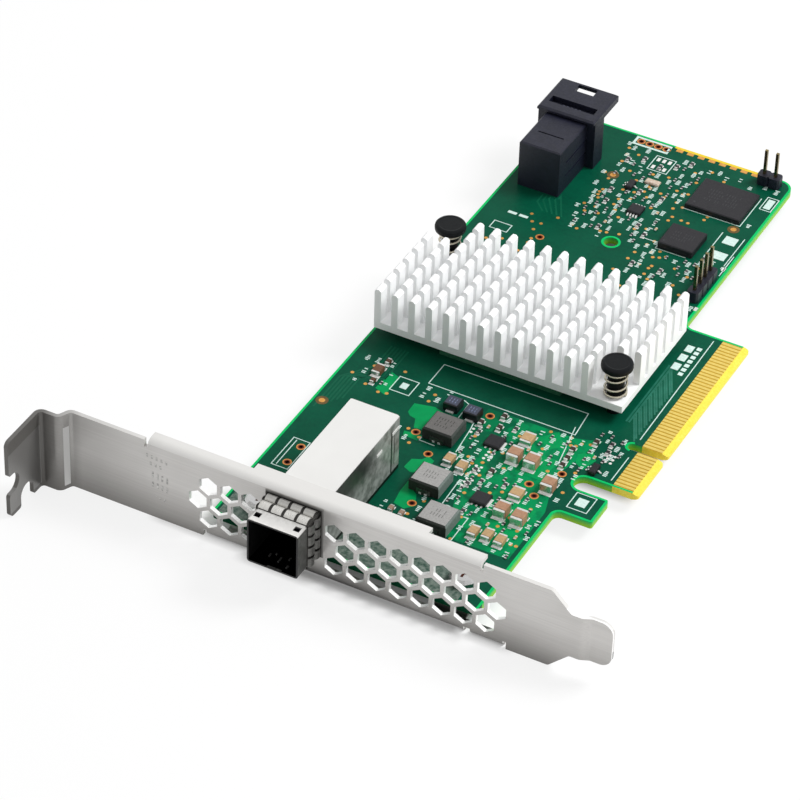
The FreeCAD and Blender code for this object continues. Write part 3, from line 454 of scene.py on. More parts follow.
class Nodes:
    """A node tree, filled by short calls."""

    def __init__(self, tree):
        self.tree = tree

    def set(self, socket, value):
        """Links a socket to a field or another socket, or sets it to a value."""
        value = getattr(value, "socket", value)
        if isinstance(value, bpy.types.NodeSocket):
            self.tree.links.new(value, socket)
        elif value is not None:
            socket.default_value = value

    def add(self, kind, *values, **settings):
        """A node with its settings, and its first inputs linked or set."""
        made = self.tree.nodes.new(kind)
        for setting, value in settings.items():
            setattr(made, setting, value)
        for socket, value in zip(made.inputs, values):
            self.set(socket, value)
        return made


class Field:
    """A number that varies over a surface, held as a node's output; arithmetic on it adds nodes."""

    def __init__(self, nodes, socket):
        self.nodes = nodes
        self.socket = socket

    def math(self, operation, *others):
        """The result of one arithmetic step on this field and others."""
        made = self.nodes.add("ShaderNodeMath", self, *others, operation=operation)
        return Field(self.nodes, made.outputs[0])

    def ramp(self, low, high, start=0.3, end=0.7):
        """The field carried from start and end to low and high, and held there."""
        made = self.nodes.add("ShaderNodeMapRange", self, start, end, low, high)
        return Field(self.nodes, made.outputs[0])

    def near(self, middle, reach):
        """1 within a reach of a middle value."""
        return self.math("COMPARE", middle, reach)

    def span(self, low, high, blur):
        """1 between two limits, fading over a blur at each."""
        return self.ramp(0, 1, low - blur, low + blur) * self.ramp(1, 0, high - blur, high + blur)


# Python's operators on fields, and the steps they stand for
OPERATORS = {"abs": "ABSOLUTE", "add": "ADD", "sub": "SUBTRACT", "mul": "MULTIPLY", "or": "MAXIMUM",
             "gt": "GREATER_THAN", "lt": "LESS_THAN"}
for operator, operation in OPERATORS.items():
    setattr(Field, f"__{operator}__", partialmethod(Field.math, operation))


class Finish(Nodes):
    """A surface finish whose nodes read the piece's own coordinates."""

    def __init__(self, name, colour, roughness, metallic=0, specular=0.5):
        material = bpy.data.materials.new(name)
        material.use_nodes = True
        super().__init__(material.node_tree)
        finishes[name] = material
        self.shader = self.tree.nodes["Principled BSDF"]
        self.set(self.shader.inputs["Base Color"], (*colour, 1))
        self.set(self.shader.inputs["Roughness"], roughness)
        self.set(self.shader.inputs["Metallic"], metallic)
        self.set(self.shader.inputs["Specular IOR Level"], specular)
        self.coordinates = self.add("ShaderNodeTexCoord").outputs["Object"]

    def parts(self, vector):
        """The three parts of a vector."""
        return [Field(self, part) for part in self.add("ShaderNodeSeparateXYZ", vector).outputs]

    def axes(self):
        """The point's coordinates, in millimetres."""
        scaled = self.add("ShaderNodeVectorMath", self.coordinates, operation="SCALE")
        self.set(scaled.inputs["Scale"], 1 / MM)
        return self.parts(scaled.outputs[0])

    def normal(self):
        """The parts of the direction that the surface faces."""
        return self.parts(self.add("ShaderNodeNewGeometry").outputs["Normal"])

    def noise(self, size, detail=2, stretch=(1, 1, 1)):
        """Noise whose features are about a size in millimetres, longer along a stretched axis."""
        place = self.add("ShaderNodeMapping", self.coordinates, None, None, [1 / s for s in stretch])
        made = self.add("ShaderNodeTexNoise", place.outputs[0], None, 1 / (size * MM), detail)
        return Field(self, made.outputs[0])

    def streaked(self, along, cloud):
        """Fine streaks along an axis, and their tone over slow changes of a size."""
        streaks = self.noise(0.25, 3, along)
        return streaks, (streaks * 0.5 + self.noise(cloud) * 0.5).ramp(0, 1, 0.35, 0.65)

    def mix(self, factor, first, second):
        """Colour between two colours."""
        made = self.add("ShaderNodeMix", data_type="RGBA")
        for index, value in ((0, factor), (6, first), (7, second)):
            self.set(made.inputs[index], (*value, 1) if isinstance(value, tuple) else value)
        return made.outputs[2]

    def layered(self, colour, *layers):
        """A colour with others laid over it in turn, each where its field says."""
        for field, other in layers:
            colour = self.mix(field, colour, other)
        return colour

    def surface(self, colour, roughness=None, height=None, depth=0):
        """Gives the shader its colour, its roughness and a fine relief of a depth in millimetres."""
        self.set(self.shader.inputs["Base Color"], colour)
        self.set(self.shader.inputs["Roughness"], roughness)
        if height:
            bump = self.add("ShaderNodeBump", 1, depth * MM)
            self.set(bump.inputs["Height"], height)
            self.set(self.shader.inputs["Normal"], bump.outputs[0])


def grained(name, colour, other, size, roughness, metallic=0, specular=0.5, grain=0.15, depth=0.004):
    """Finish that wavers between two colours and two roughnesses, with a fine grain in relief."""
    finish = Finish(name, colour, roughness[0], metallic, specular)
    tone = finish.mix(finish.noise(size).ramp(0, 1), colour, other)
    finish.surface(tone, finish.noise(size * 0.37, 3).ramp(*roughness), finish.noise(grain, 1), depth)


def drawn_metal(name, colour, other, along, roughness):
    """Rolled or drawn metal: faint streaks stretched along one axis over slow changes of tone."""
    finish = Finish(name, colour, roughness[0], metallic=1)
    streaks, tone = finish.streaked(along, 9)
    finish.surface(finish.mix(tone, colour, other), streaks.ramp(*roughness), streaks, depth=0.002)


def two_tone(name, top, sides, flank, size, roughness, depth):
    """Pressed body whose top is paler than its sides; the side towards +X is lighter, a painted light from
    that side.
    """
    finish = Finish(name, top, roughness, specular=0.4)
    speck = finish.noise(size, 3).ramp(0, 1, 0.35, 0.65)
    pale, dark, aside = (finish.mix(speck, tone, tuple(share * c for c in tone))
                         for tone, share in ((top, 0.78), (sides, 0.6), (flank, 0.8)))
    towards, _, up = finish.normal()
    # The side towards +X takes its lighter colour: painted light
    tone = finish.mix(abs(up) > 0.8, finish.mix(towards > 0.6, dark, aside), pale)
    finish.surface(tone, None, finish.noise(size * 0.6), depth)


def ceramic_by_place(name, usual, aside, front):
    """Fired ceramic with a usual colour, a colour for the parts towards the board's top edge, and one for
    those close behind the bracket."""
    finish = Finish(name, usual, roughness=0.48, specular=0.3)
    x, y, _ = finish.axes()
    speck = finish.noise(0.5).ramp(0, 0.25)
    tone = finish.layered(usual, (x < -50, aside), (y < -39.3, front), (speck, BLACK))
    finish.surface(tone, None, finish.noise(0.1, 1), depth=0.004)


def board_finish():
    """Green solder mask on the faces, bare laminate on the cut edges and between the contacts, gold on the
    plated stretch of the rear edge."""
    finish = Finish("board_solder_mask", (0.006, 0.105, 0.066), roughness=0.45, specular=0.06)
    x, y, z = finish.axes()
    level = abs(finish.normal()[2])
    mask = finish.mix(finish.noise(7, 3).ramp(0, 1), (0.001, 0.056, 0.031), (0.002, 0.08, 0.043))
    mask = finish.mix(finish.noise(0.8).ramp(0, 0.35), mask, (0.001, 0.1, 0.047))
    gilt = (y > board_rear - 0.01) * (x > plated_edge[0]) * (x < plated_edge[1])
    # Cut edges: olive below, green above, gold on the plated stretch; painted shade darkens the front edge
    # behind the bracket
    cut = finish.layered(
        finish.mix(z.ramp(0, 1, board_bottom, 0), (0.33, 0.52, 0.02), (0.005, 0.42, 0.11)),
        (y < board_low[1] + 2, (0.004, 0.08, 0.036)), (gilt, (0.88, 0.66, 0.03)))
    laminate = finish.mix(finish.noise(0.5, 3).ramp(0, 1), (0.8, 0.62, 0.065), (0.88, 0.72, 0.11))
    laminate = finish.mix(level > 0.97, laminate, (0.5, 0.29, 0.02))
    bare = (x > contact_zone) * (y > contact_zone_start)
    tone = finish.mix(bare, finish.mix(level > 0.5, cut, mask), laminate)
    finish.surface(tone, finish.noise(3, 3).ramp(0.34, 0.46), finish.noise(0.45), depth=0.006)


def field_finish():
    """Mask over the regulators' copper: dark beside the inductors, brighter towards the contact edge."""
    finish = Finish("mask_over_field", (0, 0.18, 0.07), roughness=0.45, specular=0.06)
    bright = finish.axes()[0].ramp(0, 1, -36, -19) + finish.noise(3).ramp(-0.42, 0.34, 0.42, 0.58)
    tone = finish.mix(bright.ramp(0, 1, 0, 1), (0.001, 0.105, 0.045), (0, 0.25, 0.08))
    finish.surface(tone, finish.noise(1.1, 3).ramp(0.4, 0.5), finish.noise(0.45), depth=0.004)


def bracket_finish():
    """Rolled sheet with streaks along its length. Painted light pales its upper fold and the walls of its
    vents; painted shade darkens the tab, the ear at the contact side, the left end, and the face towards its
    lower edge, most of all along that edge below the port."""
    finish = Finish("bracket_sheet", (0.76, 0.745, 0.72), roughness=0.34, metallic=0.42)
    x, y, z = finish.axes()
    _, ahead, up = finish.normal()
    streaks, tone = finish.streaked((60, 1, 1), 11)
    face = y < face_y + 1.2
    # Painted light: the upward faces of the upper fold paler
    painted_lit_fold = (abs(up) > 0.45) * (z > 5)
    # Painted shade towards the face's lower edge, along that edge below the port, and at the left end
    foot = face * z.ramp(0.75, 0, -4.2, 6)
    below_port = x.ramp(0.1, 1, -66, -46) * x.ramp(1, 0.3, -38, -24)
    shaded_lower_edge = face * z.ramp(0.95, 0, -3.9, 0.5) * below_port
    shaded_left_end = x.ramp(0.2, 0, -92, -78)
    # Painted highlight: the walls of the vents near white
    lit_vent_wall = face * (abs(ahead) < 0.5) * (z > -3.2) * (z < 11.2)
    # Painted shade on the ear at the contact side and on the tab
    shaded_ear = (face < 0.5) * (x > -22) * z.near(0, 3.6)
    shaded_tab = face * x.ramp(0.86, 0, -103.2, -96)
    sheet = finish.layered(
        finish.mix(tone, (0.69, 0.675, 0.655), (0.61, 0.595, 0.575)),
        (painted_lit_fold, (0.76, 0.75, 0.73)), (foot, (0.22, 0.21, 0.197)), (shaded_lower_edge, (0.02, 0.019, 0.018)),
        (shaded_left_end, BLACK), (lit_vent_wall, (0.97, 0.97, 0.96)), (shaded_ear, (0.07, 0.075, 0.068)),
        (shaded_tab, (0.058, 0.054, 0.048)))
    finish.surface(sheet, streaks.ramp(0.3, 0.4), streaks, depth=0.002)


def gap_finish():
    """Shade round the port opening: dark at the nose, and the sheet's own tone one millimetre out."""
    finish = Finish("shaded_gap", (0.05, 0.048, 0.045), roughness=0.6, specular=0.1)
    x, _, z = finish.axes()
    out = (x - nose_high[0]) | (x - nose_low[0]) * -1 | (z - nose_high[2])
    speck = finish.mix(finish.noise(0.5).ramp(0, 1), (0.026, 0.025, 0.023), (0.04, 0.038, 0.035))
    finish.surface(finish.mix(out.ramp(0, 1, 0.35, 1.25), speck, (0.55, 0.54, 0.52)))


def collar_finish():
    """Bright spring sheet, with painted shade on the row at the root and on the fingers on the side towards
    +X.
    """
    finish = Finish("spring_sheet", (0.7, 0.69, 0.66), roughness=0.3, metallic=0.7)
    x, y, _ = finish.axes()
    streaks = finish.noise(0.3, 3, (1, 6, 1))
    tone = streaks.ramp(0, 1)
    # Painted shade on the row of fingers at the root
    root = y.ramp(0, 0.62, face_y - 2.3, face_y - 1.4)
    bright = finish.mix(tone, (0.7, 0.69, 0.66), (0.56, 0.55, 0.52))
    # Painted shade on the fingers of the side towards +X
    shaded_side_fingers = finish.mix(tone, (0.16, 0.158, 0.15), (0.1, 0.098, 0.092))
    sheet = finish.layered(bright, (root, (0.2, 0.195, 0.185)), (x > nose_high[0], shaded_side_fingers))
    finish.surface(sheet, streaks.ramp(0.26, 0.4), streaks, depth=0.002)


def cage_finish():
    """Bright tinned sheet with painted shade: darker on its sides, darkest on the nose's sides, black inside
    where the plug goes in and on its lip; on the side wall a shadow line at a seam ahead of its rear end and
    along its foot, and a dark stretch under the top towards the bracket. The nose's top darkens towards
    its mouth."""
    finish = Finish("tinned_cage", (0.86, 0.855, 0.83), roughness=0.34, metallic=1)
    x, y, z = finish.axes()
    wall = 0.30
    rear, top = cage_high[1:]
    # Painted shade: black inside the nose where the plug goes in, and on its lip
    inside = y < rear - 2 * wall
    for place, axis in ((x, 0), (z, 2)):
        inside = inside * (place > nose_low[axis] + wall) * (place < nose_high[axis] - wall)
    lip = y < nose_low[1] + 0.02
    nose = y < face_y
    flank = abs(finish.normal()[2]) < 0.5
    grime = finish.noise(0.7, 3).ramp(0, 1)
    streak = finish.noise(1.6, 3).ramp(0, 1, 0.35, 0.65)
    # Painted shade under the top towards the bracket
    shade_under_top = z.ramp(0, 0.92, 4.5, 9) * y.ramp(1, 0, rear - 14, rear - 7)
    # Painted shadow line at a seam ahead of the rear end, and along the foot
    seam_and_foot_shade = y.near(rear - 3.15, 0.26) * (z < top - 1.9) | (z < 0.85)
    # Sides: a darker painted-shade copy of the tin, darkest on the nose
    side = finish.layered(
        finish.mix(streak, (0.18, 0.188, 0.176), (0.4, 0.41, 0.395)),
        (shade_under_top, (0.02, 0.021, 0.02)), (seam_and_foot_shade, (0.006, 0.007, 0.006)),
        (nose, finish.mix(grime, (0.038, 0.038, 0.035), (0.085, 0.085, 0.08))))
    # The nose's top darkens towards its mouth
    forward = y.ramp(1, 0, nose_low[1], nose_low[1] + 3)
    darker_to_mouth = finish.mix(forward, (0.56, 0.555, 0.535), (0.95, 0.935, 0.91))
    sheet = finish.layered(
        finish.mix(finish.noise(12).ramp(0, 1), (0.91, 0.905, 0.885), (0.87, 0.865, 0.845)),
        (nose, finish.mix(grime, darker_to_mouth, (0.76, 0.75, 0.73))), (flank, side),
        (inside | lip, (0.01, 0.01, 0.01)))
    finish.set(finish.shader.inputs["Metallic"], flank.ramp(1, 0.25, 0, 1))
    finish.surface(sheet, finish.noise(3).ramp(0.32, 0.38), finish.noise(0.6), depth=0.001)


board_low, board_high = box_of("circuit_board")
board_bottom = board_low[2]
board_rear = board_high[1]
contact_zone = box_of("edge_contacts_top")[0][0]   # laminate is bare from here to the contact edge
cage_low, cage_high = box_of("external_port_cage")
face_y = box_of("external_port_spring_collar")[1][1]
nose_points = triangles_of("external_port_cage").reshape(-1, 3)
nose_points = nose_points[nose_points[:, 1] < cage_low[1] + 0.01]
nose_low, nose_high = nose_points.min(axis=0), nose_points.max(axis=0)

# Colour, other colour, size of the changes, roughness, metallic, specular, size and depth of the grain
GRAINED = {
    "mask_over_copper": ((0, 0.3, 0.084), (0, 0.255, 0.075), 2.5, (0.4, 0.5), 0, 0.08),
    "mask_over_traces": ((0.022, 0.165, 0.11), (0.012, 0.125, 0.08), 2, (0.34, 0.44), 0, 0.15),
    "mask_over_side_traces": ((0.006, 0.112, 0.058), (0.004, 0.09, 0.048), 2, (0.34, 0.44), 0, 0.08),
    "bare_laminate_rim": ((0, 0.53, 0.13), (0, 0.45, 0.112), 3, (0.34, 0.46), 0, 0.1),
    "bare_clearing": ((0.15, 0.09, 0.03), (0.1, 0.065, 0.022), 0.8, (0.45, 0.6), 0, 0.2),
    "ground_strip_tin": ((0.19, 0.232, 0.202), (0.022, 0.06, 0.042), 0.9, (0.4, 0.55), 0, 0.15),
    "silkscreen_ink": ((0.66, 0.8, 0.76), (0.52, 0.68, 0.63), 0.5, (0.55, 0.7), 0, 0.3),
    "chip_marking_ink": ((0.045, 0.046, 0.05), (0.03, 0.031, 0.034), 0.4, (0.5, 0.65), 0, 0.3),
    "inductor_marking_ink": ((0.15, 0.15, 0.145), (0.19, 0.19, 0.185), 0.4, (0.5, 0.65), 0, 0.2),
    "dark_inductor_ink": ((0.05, 0.048, 0.046), (0.07, 0.068, 0.065), 0.4, (0.5, 0.65), 0, 0.2),
    "tantalum_ink": ((0.2, 0.24, 0.36), (0.14, 0.17, 0.27), 0.4, (0.5, 0.65), 0, 0.2),
    "gold_plating": ((0.79, 0.605, 0.15), (0.73, 0.54, 0.115), 0.9, (0.28, 0.42), 0.5, 0.5, 0.1, 0.002),
    "edge_plating": ((0.82, 0.62, 0.03), (0.74, 0.53, 0.02), 0.7, (0.35, 0.5), 0.1, 0.3),
    "plated_lands": ((0.74, 0.38, 0.095), (0.64, 0.29, 0.062), 0.6, (0.3, 0.45), 0.5, 0.3, 0.1, 0.002),
    "hole_lands": ((0.7, 0.3, 0.08), (0.6, 0.22, 0.055), 0.5, (0.3, 0.45), 0.4, 0.3, 0.1, 0.002),
    "hole_wells": ((0.2, 0.036, 0.01), (0.13, 0.02, 0.006), 0.4, (0.35, 0.5), 0.2, 0.3),
    "hole_barrels": ((0.06, 0.012, 0.004), (0.04, 0.008, 0.003), 0.4, (0.4, 0.55), 0, 0.1),
    "hole_depths": ((0.01, 0.003, 0.001), (0.006, 0.002, 0.001), 0.4, (0.5, 0.65), 0, 0.05),
    "bright_solder": ((0.86, 0.86, 0.84), (0.74, 0.74, 0.72), 0.5, (0.35, 0.5), 0.3),
    "tinned_ends": ((0.82, 0.82, 0.8), (0.7, 0.7, 0.68), 0.5, (0.25, 0.4), 0.92, 0.5, 0.15, 0.006),
    "inductor_terminal": ((0.16, 0.17, 0.16), (0.1, 0.11, 0.1), 0.4, (0.35, 0.5), 0.9, 0.5, 0.15, 0.006),
    "stamped_edge": ((0.72, 0.71, 0.69), (0.26, 0.255, 0.245), 0.5, (0.3, 0.45), 0.4),
    "shaded_band": ((0.06, 0.058, 0.054), (0.045, 0.044, 0.041), 0.5, (0.6, 0.75), 0, 0.1),
    "worn_rib": ((0.12, 0.12, 0.115), (0.05, 0.05, 0.048), 0.5, (0.4, 0.55), 0.3, 0.3),
    "port_moulding": ((0.008, 0.009, 0.022), (0.004, 0.005, 0.014), 1.2, (0.42, 0.58), 0, 0.45, 0.12, 0.006),
    "worn_moulding": ((0.06, 0.062, 0.1), (0.045, 0.047, 0.08), 0.5, (0.4, 0.55), 0, 0.4),
    "push_pin_nylon": ((0.005, 0.006, 0.007), (0.003, 0.004, 0.005), 1, (0.42, 0.54), 0, 0.15),
    "blasted_aluminium": ((0.985, 0.99, 0.99), (0.965, 0.975, 0.98), 1.4, (0.45, 0.58), 0, 0.8, 0.12),
    "thermal_pad": ((0.5, 0.51, 0.55), (0.42, 0.43, 0.47), 0.8, (0.7, 0.85)),
    "chip_moulding": ((0.011, 0.01, 0.013), (0.007, 0.007, 0.01), 0.6, (0.45, 0.6), 0, 0.4, 0.08, 0.006),
    "chip_carrier": ((0.03, 0.16, 0.08), (0.02, 0.12, 0.06), 0.8, (0.4, 0.55)),
    "capacitor_ceramic": ((0.42, 0.24, 0.148), (0.35, 0.19, 0.112), 0.5, (0.4, 0.55), 0, 0.3, 0.1),
    "capacitor_ceramic_pale": ((0.52, 0.35, 0.185), (0.44, 0.28, 0.135), 0.5, (0.4, 0.55), 0, 0.3, 0.1),
    "resistor_array_ceramic": ((0.66, 0.58, 0.5), (0.5, 0.36, 0.26), 0.5, (0.4, 0.55), 0, 0.3),
    "resistor_glaze": ((0.02, 0.02, 0.022), (0.014, 0.014, 0.016), 0.3, (0.25, 0.4), 0, 0.5, 0.1, 0.003),
}
# Colour, other colour, stretch of the streaks, roughness
DRAWN = {
    "header_posts": ((0.34, 0.27, 0.12), (0.22, 0.18, 0.09), (1, 1, 20), (0.18, 0.3)),
    "screw_steel": ((0.6, 0.6, 0.6), (0.5, 0.5, 0.5), (1, 1, 1), (0.25, 0.38)),
    "spring_wire": ((0.62, 0.58, 0.48), (0.5, 0.46, 0.37), (1, 1, 1), (0.2, 0.32)),
    "chip_lid": ((0.7, 0.7, 0.71), (0.62, 0.62, 0.63), (8, 1, 1), (0.3, 0.42)),
}
# Top, sides, side towards +X (lighter: painted light), size of the specks, roughness, depth
TWO_TONE = {
    "inductor_powder": ((0.37, 0.365, 0.355), (0.026, 0.032, 0.026), (0.15, 0.185, 0.17), 0.35, 0.62, 0.015),
    "inductor_powder_dark": ((0.14, 0.135, 0.13), (0.026, 0.03, 0.026), (0.05, 0.06, 0.054), 0.3, 0.62,
                             0.015),
    "tantalum_case": ((0.045, 0.052, 0.085), (0.006, 0.006, 0.009), (0.006, 0.006, 0.009), 0.4, 0.42, 0.006),
}
# Usual colour, colour towards the board's top edge, colour close behind the bracket
CERAMIC_BY_PLACE = {
    "medium_ceramic": ((0.5, 0.33, 0.17), (0.15, 0.07, 0.036), (0.5, 0.33, 0.17)),
    "small_ceramic": ((0.04, 0.027, 0.018), (0.1, 0.045, 0.024), (0.36, 0.235, 0.17)),
}
for make, looks in ((grained, GRAINED), (drawn_metal, DRAWN), (two_tone, TWO_TONE),
                    (ceramic_by_place, CERAMIC_BY_PLACE)):
    for name, look in looks.items():
        make(name, *look)
for make in (board_finish, field_finish, bracket_finish, gap_finish, collar_finish, cage_finish):
    make()

NODE_FINISHES = {
    "board_solder_mask": ["circuit_board"],
    "gold_plating": ["edge_contacts_top", "edge_contacts_bottom", "external_port_contacts",
                     "internal_port_contacts"],
    "bracket_sheet": ["bracket"],
    "screw_steel": ["bracket_screws"],
    "tinned_cage": ["external_port_cage"],
    "spring_sheet": ["external_port_spring_collar"],
    "port_moulding": ["external_port_housing", "internal_port_housing", "internal_port_tongues",
                      "rear_header_base", "side_header_base"],
    "chip_carrier": ["controller_substrate"],
    "chip_lid": ["controller_lid"],
    "thermal_pad": ["thermal_pad"],
    "blasted_aluminium": ["heat_sink"],
    "inductor_powder_dark": ["inductor_1"],
    "inductor_powder": ["inductor_2", "inductor_3"],
    "inductor_terminal": ["inductor_terminals"],
    "tantalum_case": ["tantalum_capacitor_1", "tantalum_capacitor_2"],
    "chip_moulding": ["regulator_chip_1", "regulator_chip_2", "memory_chip", "flash_chip", "sensor_chip",
                      "transistor_1", "transistor_2"],
    "tinned_ends": ["sensor_chip_leads", "transistor_leads"],
    "resistor_array_ceramic": ["resistor_array"],
    "header_posts": ["rear_header_posts", "side_header_posts"],
    "push_pin_nylon": ["push_pin_front", "push_pin_rear"],
    "spring_wire": ["push_pin_spring_front", "push_pin_spring_rear"],
}
for finish, nodes in NODE_FINISHES.items():
    for node in nodes:
        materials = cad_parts[node].data.materials
        materials.clear()
        materials.append(finishes[finish])


# Small parts on the board

PART_NODES = [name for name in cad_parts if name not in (
    "circuit_board", "edge_contacts_top", "edge_contacts_bottom", "bracket", "heat_sink",
    "external_port_spring_collar", "push_pin_spring_front", "push_pin_spring_rear",
)]
kept_clear = np.array([
    ((-45, 85), (-39.5, 91)), ((-11.8, 24), (-7, 38.5)), ((-20.5, 62.5), (-15, 73)),
    ((-18, 83.5), (-14.8, 89.2)), ((-51, -16.2), (-45, -8)), ((-65, 49.5), (-58, 57.8)),
    ((-57.2, -8), (-52.3, -3)), ((-52, 91.5), (-22, 96)),
])
hole_margin = 0.9
_, _, loop_sizes, loop_middles = edge_of_face("circuit_board", 0)
large_holes = (loop_sizes > small_hole_limit) & (loop_sizes < large_hole_limit)
reach = loop_sizes[large_holes, None] / 2 + rim_width
part_boxes = [solid_boxes(node) for node in PART_NODES]
part_lows, part_highs = (np.vstack(corners)[:, :2] for corners in zip(*part_boxes))
part_lows = np.vstack([part_lows, kept_clear[:, 0], loop_middles[large_holes] - reach])
part_highs = np.vstack([part_highs, kept_clear[:, 1], loop_middles[large_holes] + reach])
hole_middles = np.unique(np.round(loop_middles[loop_sizes < small_hole_limit], 3), axis=0)


def clear_of_parts(places, margin):
    """Which places on the board lie farther than a margin from every part and plated hole."""
    places = np.asarray(places, dtype=float)[:, None, :]
    away = np.maximum(part_lows - places, places - part_highs).max(axis=2) > margin
    holes = np.linalg.norm(places - hole_middles, axis=2) > margin + hole_margin
    return away.all(axis=1) & holes.all(axis=1)


def within(places, outline):
    """Which places lie inside an outline: those from which a line towards +X crosses its edges an odd number
    of times."""
    x, y = np.asarray(places, dtype=float).T[:, :, None]
    start = np.asarray(outline, dtype=float)
    end = np.roll(start, -1, axis=0)
    rise = end[:, 1] - start[:, 1]
    spans = (start[:, 1] > y) != (end[:, 1] > y)
    crossing = start[:, 0] + (y - start[:, 1]) * (end[:, 0] - start[:, 0]) / np.where(rise == 0, 1, rise)
    return (spans & (x < crossing)).sum(axis=1) % 2 == 1


def scattered(zones, margin, spacing):
    """Places drawn in zones (x low, x high, y low, y high, count), clear of the parts and of each other."""
    kept = []
    for x_low, x_high, y_low, y_high, count in zones:
        drawn = draw.uniform((x_low, y_low), (x_high, y_high), (count, 2))
        for place in drawn[clear_of_parts(drawn, margin)]:
            if all(np.hypot(*(place - other)) > spacing for other in kept):
                kept.append(place)
    return np.array(kept)


def chip_parts(kind, ceramic, edge):
    """Bevelled bodies and end caps in place of one kind of two-ended chip part, with a pad and a fillet of
    solder at each end: an end faces +Y where its cap lies behind the middle of the nearest body."""
    bodies = kind + "_bodies"
    caps = kind + "_end_caps"
    body_lows, body_highs = solid_boxes(bodies)
    lows, highs = solid_boxes(caps)
    put(kind + "_bodies_eased", boxes(body_lows, body_highs, edge / 2), ceramic, [bodies])
    put(kind + "_end_caps_eased", boxes(lows, highs, edge), "tinned_ends", [caps])
    body_middles = ((body_lows + body_highs) / 2)[:, :2]
    middles = ((lows + highs) / 2)[:, :2]
    nearest = np.abs(middles[:, None] - body_middles).sum(axis=2).argmin(axis=1)
    signs = np.where(middles[:, 1] < body_middles[nearest, 1], -1, 1)
    run = fillet_run + edge
    solder = [wedge(low, high, sign, run) for low, high, sign in zip(lows, highs, signs)]
    pad_lows = at_level(lows[:, :2] - pad_margin, 0)
    pad_highs = at_level(highs[:, :2] + pad_margin, silk_height)
    pad_lows[signs < 0, 1] -= run
    pad_highs[signs > 0, 1] += run
    solder.append(boxes(pad_lows, pad_highs, edge=0.01))
    put(kind + "_solder", joined(solder), "bright_solder")


chip_parts("tall_capacitor", "capacitor_ceramic", edge=0.16)
chip_parts("flat_capacitor", "capacitor_ceramic_pale", edge=0.12)
chip_parts("medium_capacitor", "medium_ceramic", edge=0.12)
chip_parts("small_capacitor", "small_ceramic", edge=0.08)
chip_parts("resistor", "resistor_glaze", edge=0.06)

# Tiny chip parts, too many and too small to be nodes of their own
tiny_zones = [
    (-37, -18, -28, -3.5, 90), (-34, -13.5, -42, -26, 40), (-15, -8, -12, 1, 26),
    (-50, -33, 60, 90, 90), (-30, -18, 42, 60, 24), (-62.5, -57, -10, 0.5, 8),
]
tiny_places = scattered(tiny_zones, margin=0.75, spacing=1.9)
tan_one = np.arange(len(tiny_places)) % 8 == 5


def tiny_boxes(places, y_low, y_high, edge):
    """Bevelled boxes of tiny chip parts, from one step along Y to another."""
    x, _, z = tiny_body
    return boxes(at_level(places + (-x, y_low), 0), at_level(places + (x, y_high), z), edge)


tiny_end = tiny_body[1]
tiny_tip = tiny_end + tiny_cap
put("tiny_resistor_bodies", tiny_boxes(tiny_places[~tan_one], -tiny_end, tiny_end, edge=0.03),
    "resistor_glaze")
put("tiny_capacitor_bodies", tiny_boxes(tiny_places[tan_one], -tiny_end, tiny_end, edge=0.03),
    "capacitor_ceramic_pale")
tiny_ends = [tiny_boxes(tiny_places, *ends, edge=0.05)
             for ends in ((-tiny_tip, -tiny_end), (tiny_end, tiny_tip))]
put("tiny_part_ends", joined(tiny_ends), "tinned_ends")

# Board dressing: laminate rim with a painted highlight, copper under the mask, plated holes with painted
# shade, vias, print


def outer_rim(level, lift):
    """Band of bare laminate along the outline and the large holes, bright as a painted edge highlight; not
    along the contacts, nor round the holes under the heat sink, where shade falls.
    """
    points, edges, size, hole_centre = edge_of_face("circuit_board", level)
    middles = points[edges].mean(axis=1)
    contacts = (middles[:, 0] > contact_zone) & (middles[:, 1] > contact_zone_start)
    sink_low, sink_high = (corner[:2] for corner in box_of("heat_sink"))
    below_sink = np.all((hole_centre > sink_low) & (hole_centre < sink_high), axis=1)
    hidden = below_sink & (size < large_hole_limit)
    return rim(points, edges[(size > small_hole_limit) & ~contacts & ~hidden], level, lift, rim_width)


put("board_rim_top", outer_rim(0, mask_height), "bare_laminate_rim")
put("board_rim_bottom", outer_rim(board_bottom, -mask_height), "bare_laminate_rim")

pour_outlines = [
    [(-50.4, -12.2), (-50.5, -9.3), (-46.4, -8.3), (-44.2, -9), (-44.2, -15.6), (-47.1, -16), (-48.1, -13.4),
     (-49.5, -13.1)],
    [(-47.9, -19), (-48.3, -17.7), (-44.4, -17.3), (-44.7, -19.2)],
    [(-43.2, -27.4), (-43, -24.6), (-41.2, -23.7), (-40.5, -22.3), (-38.9, -23), (-38.9, -27.6),
     (-41.5, -28.2)],
    [(-40.5, -30.4), (-40.5, -34), (-39.9, -37.8), (-37.4, -38.4), (-35.9, -36.6), (-37.2, -33.6),
     (-39, -32.2)],
    [(-24.5, -6.6), (-21.7, -3), (-18.9, -6.7), (-21.3, -8.9)],
    [(-15.6, -7.2), (-13.1, -5.3), (-11.6, -7.3), (-12.7, -11.1), (-14.8, -9.9)],
    [(-59.5, -8.9), (-56.8, -9.9), (-56.7, -3.7), (-59, -2.8)],
    [(-24, -30), (-19, -35.5), (-15, -35.5), (-15, -26.5), (-22, -26.5)],
    [(-24, -18), (-18, -18), (-18, -11), (-23, -11)],
]
field_outline = [(-37.2, -18), (-32, -26), (-26.6, -41.6), (-13.4, -41.6), (-13.4, -26),
                 (-16.5, -15.5), (-13, -1.5), (-18, -3.2), (-37, -3.4)]
strip_outline = rectangle(board_low[0] + 1, -16.5, board_low[1] + 0.6, -45)
put("copper_field", prism(field_outline, 0, field_height), "mask_over_field")
put("ground_strip", prism(strip_outline, 0, field_height), "ground_strip_tin")
put("copper_pours", joined([prism(outline, 0, mask_height) for outline in pour_outlines]),
    "mask_over_copper")


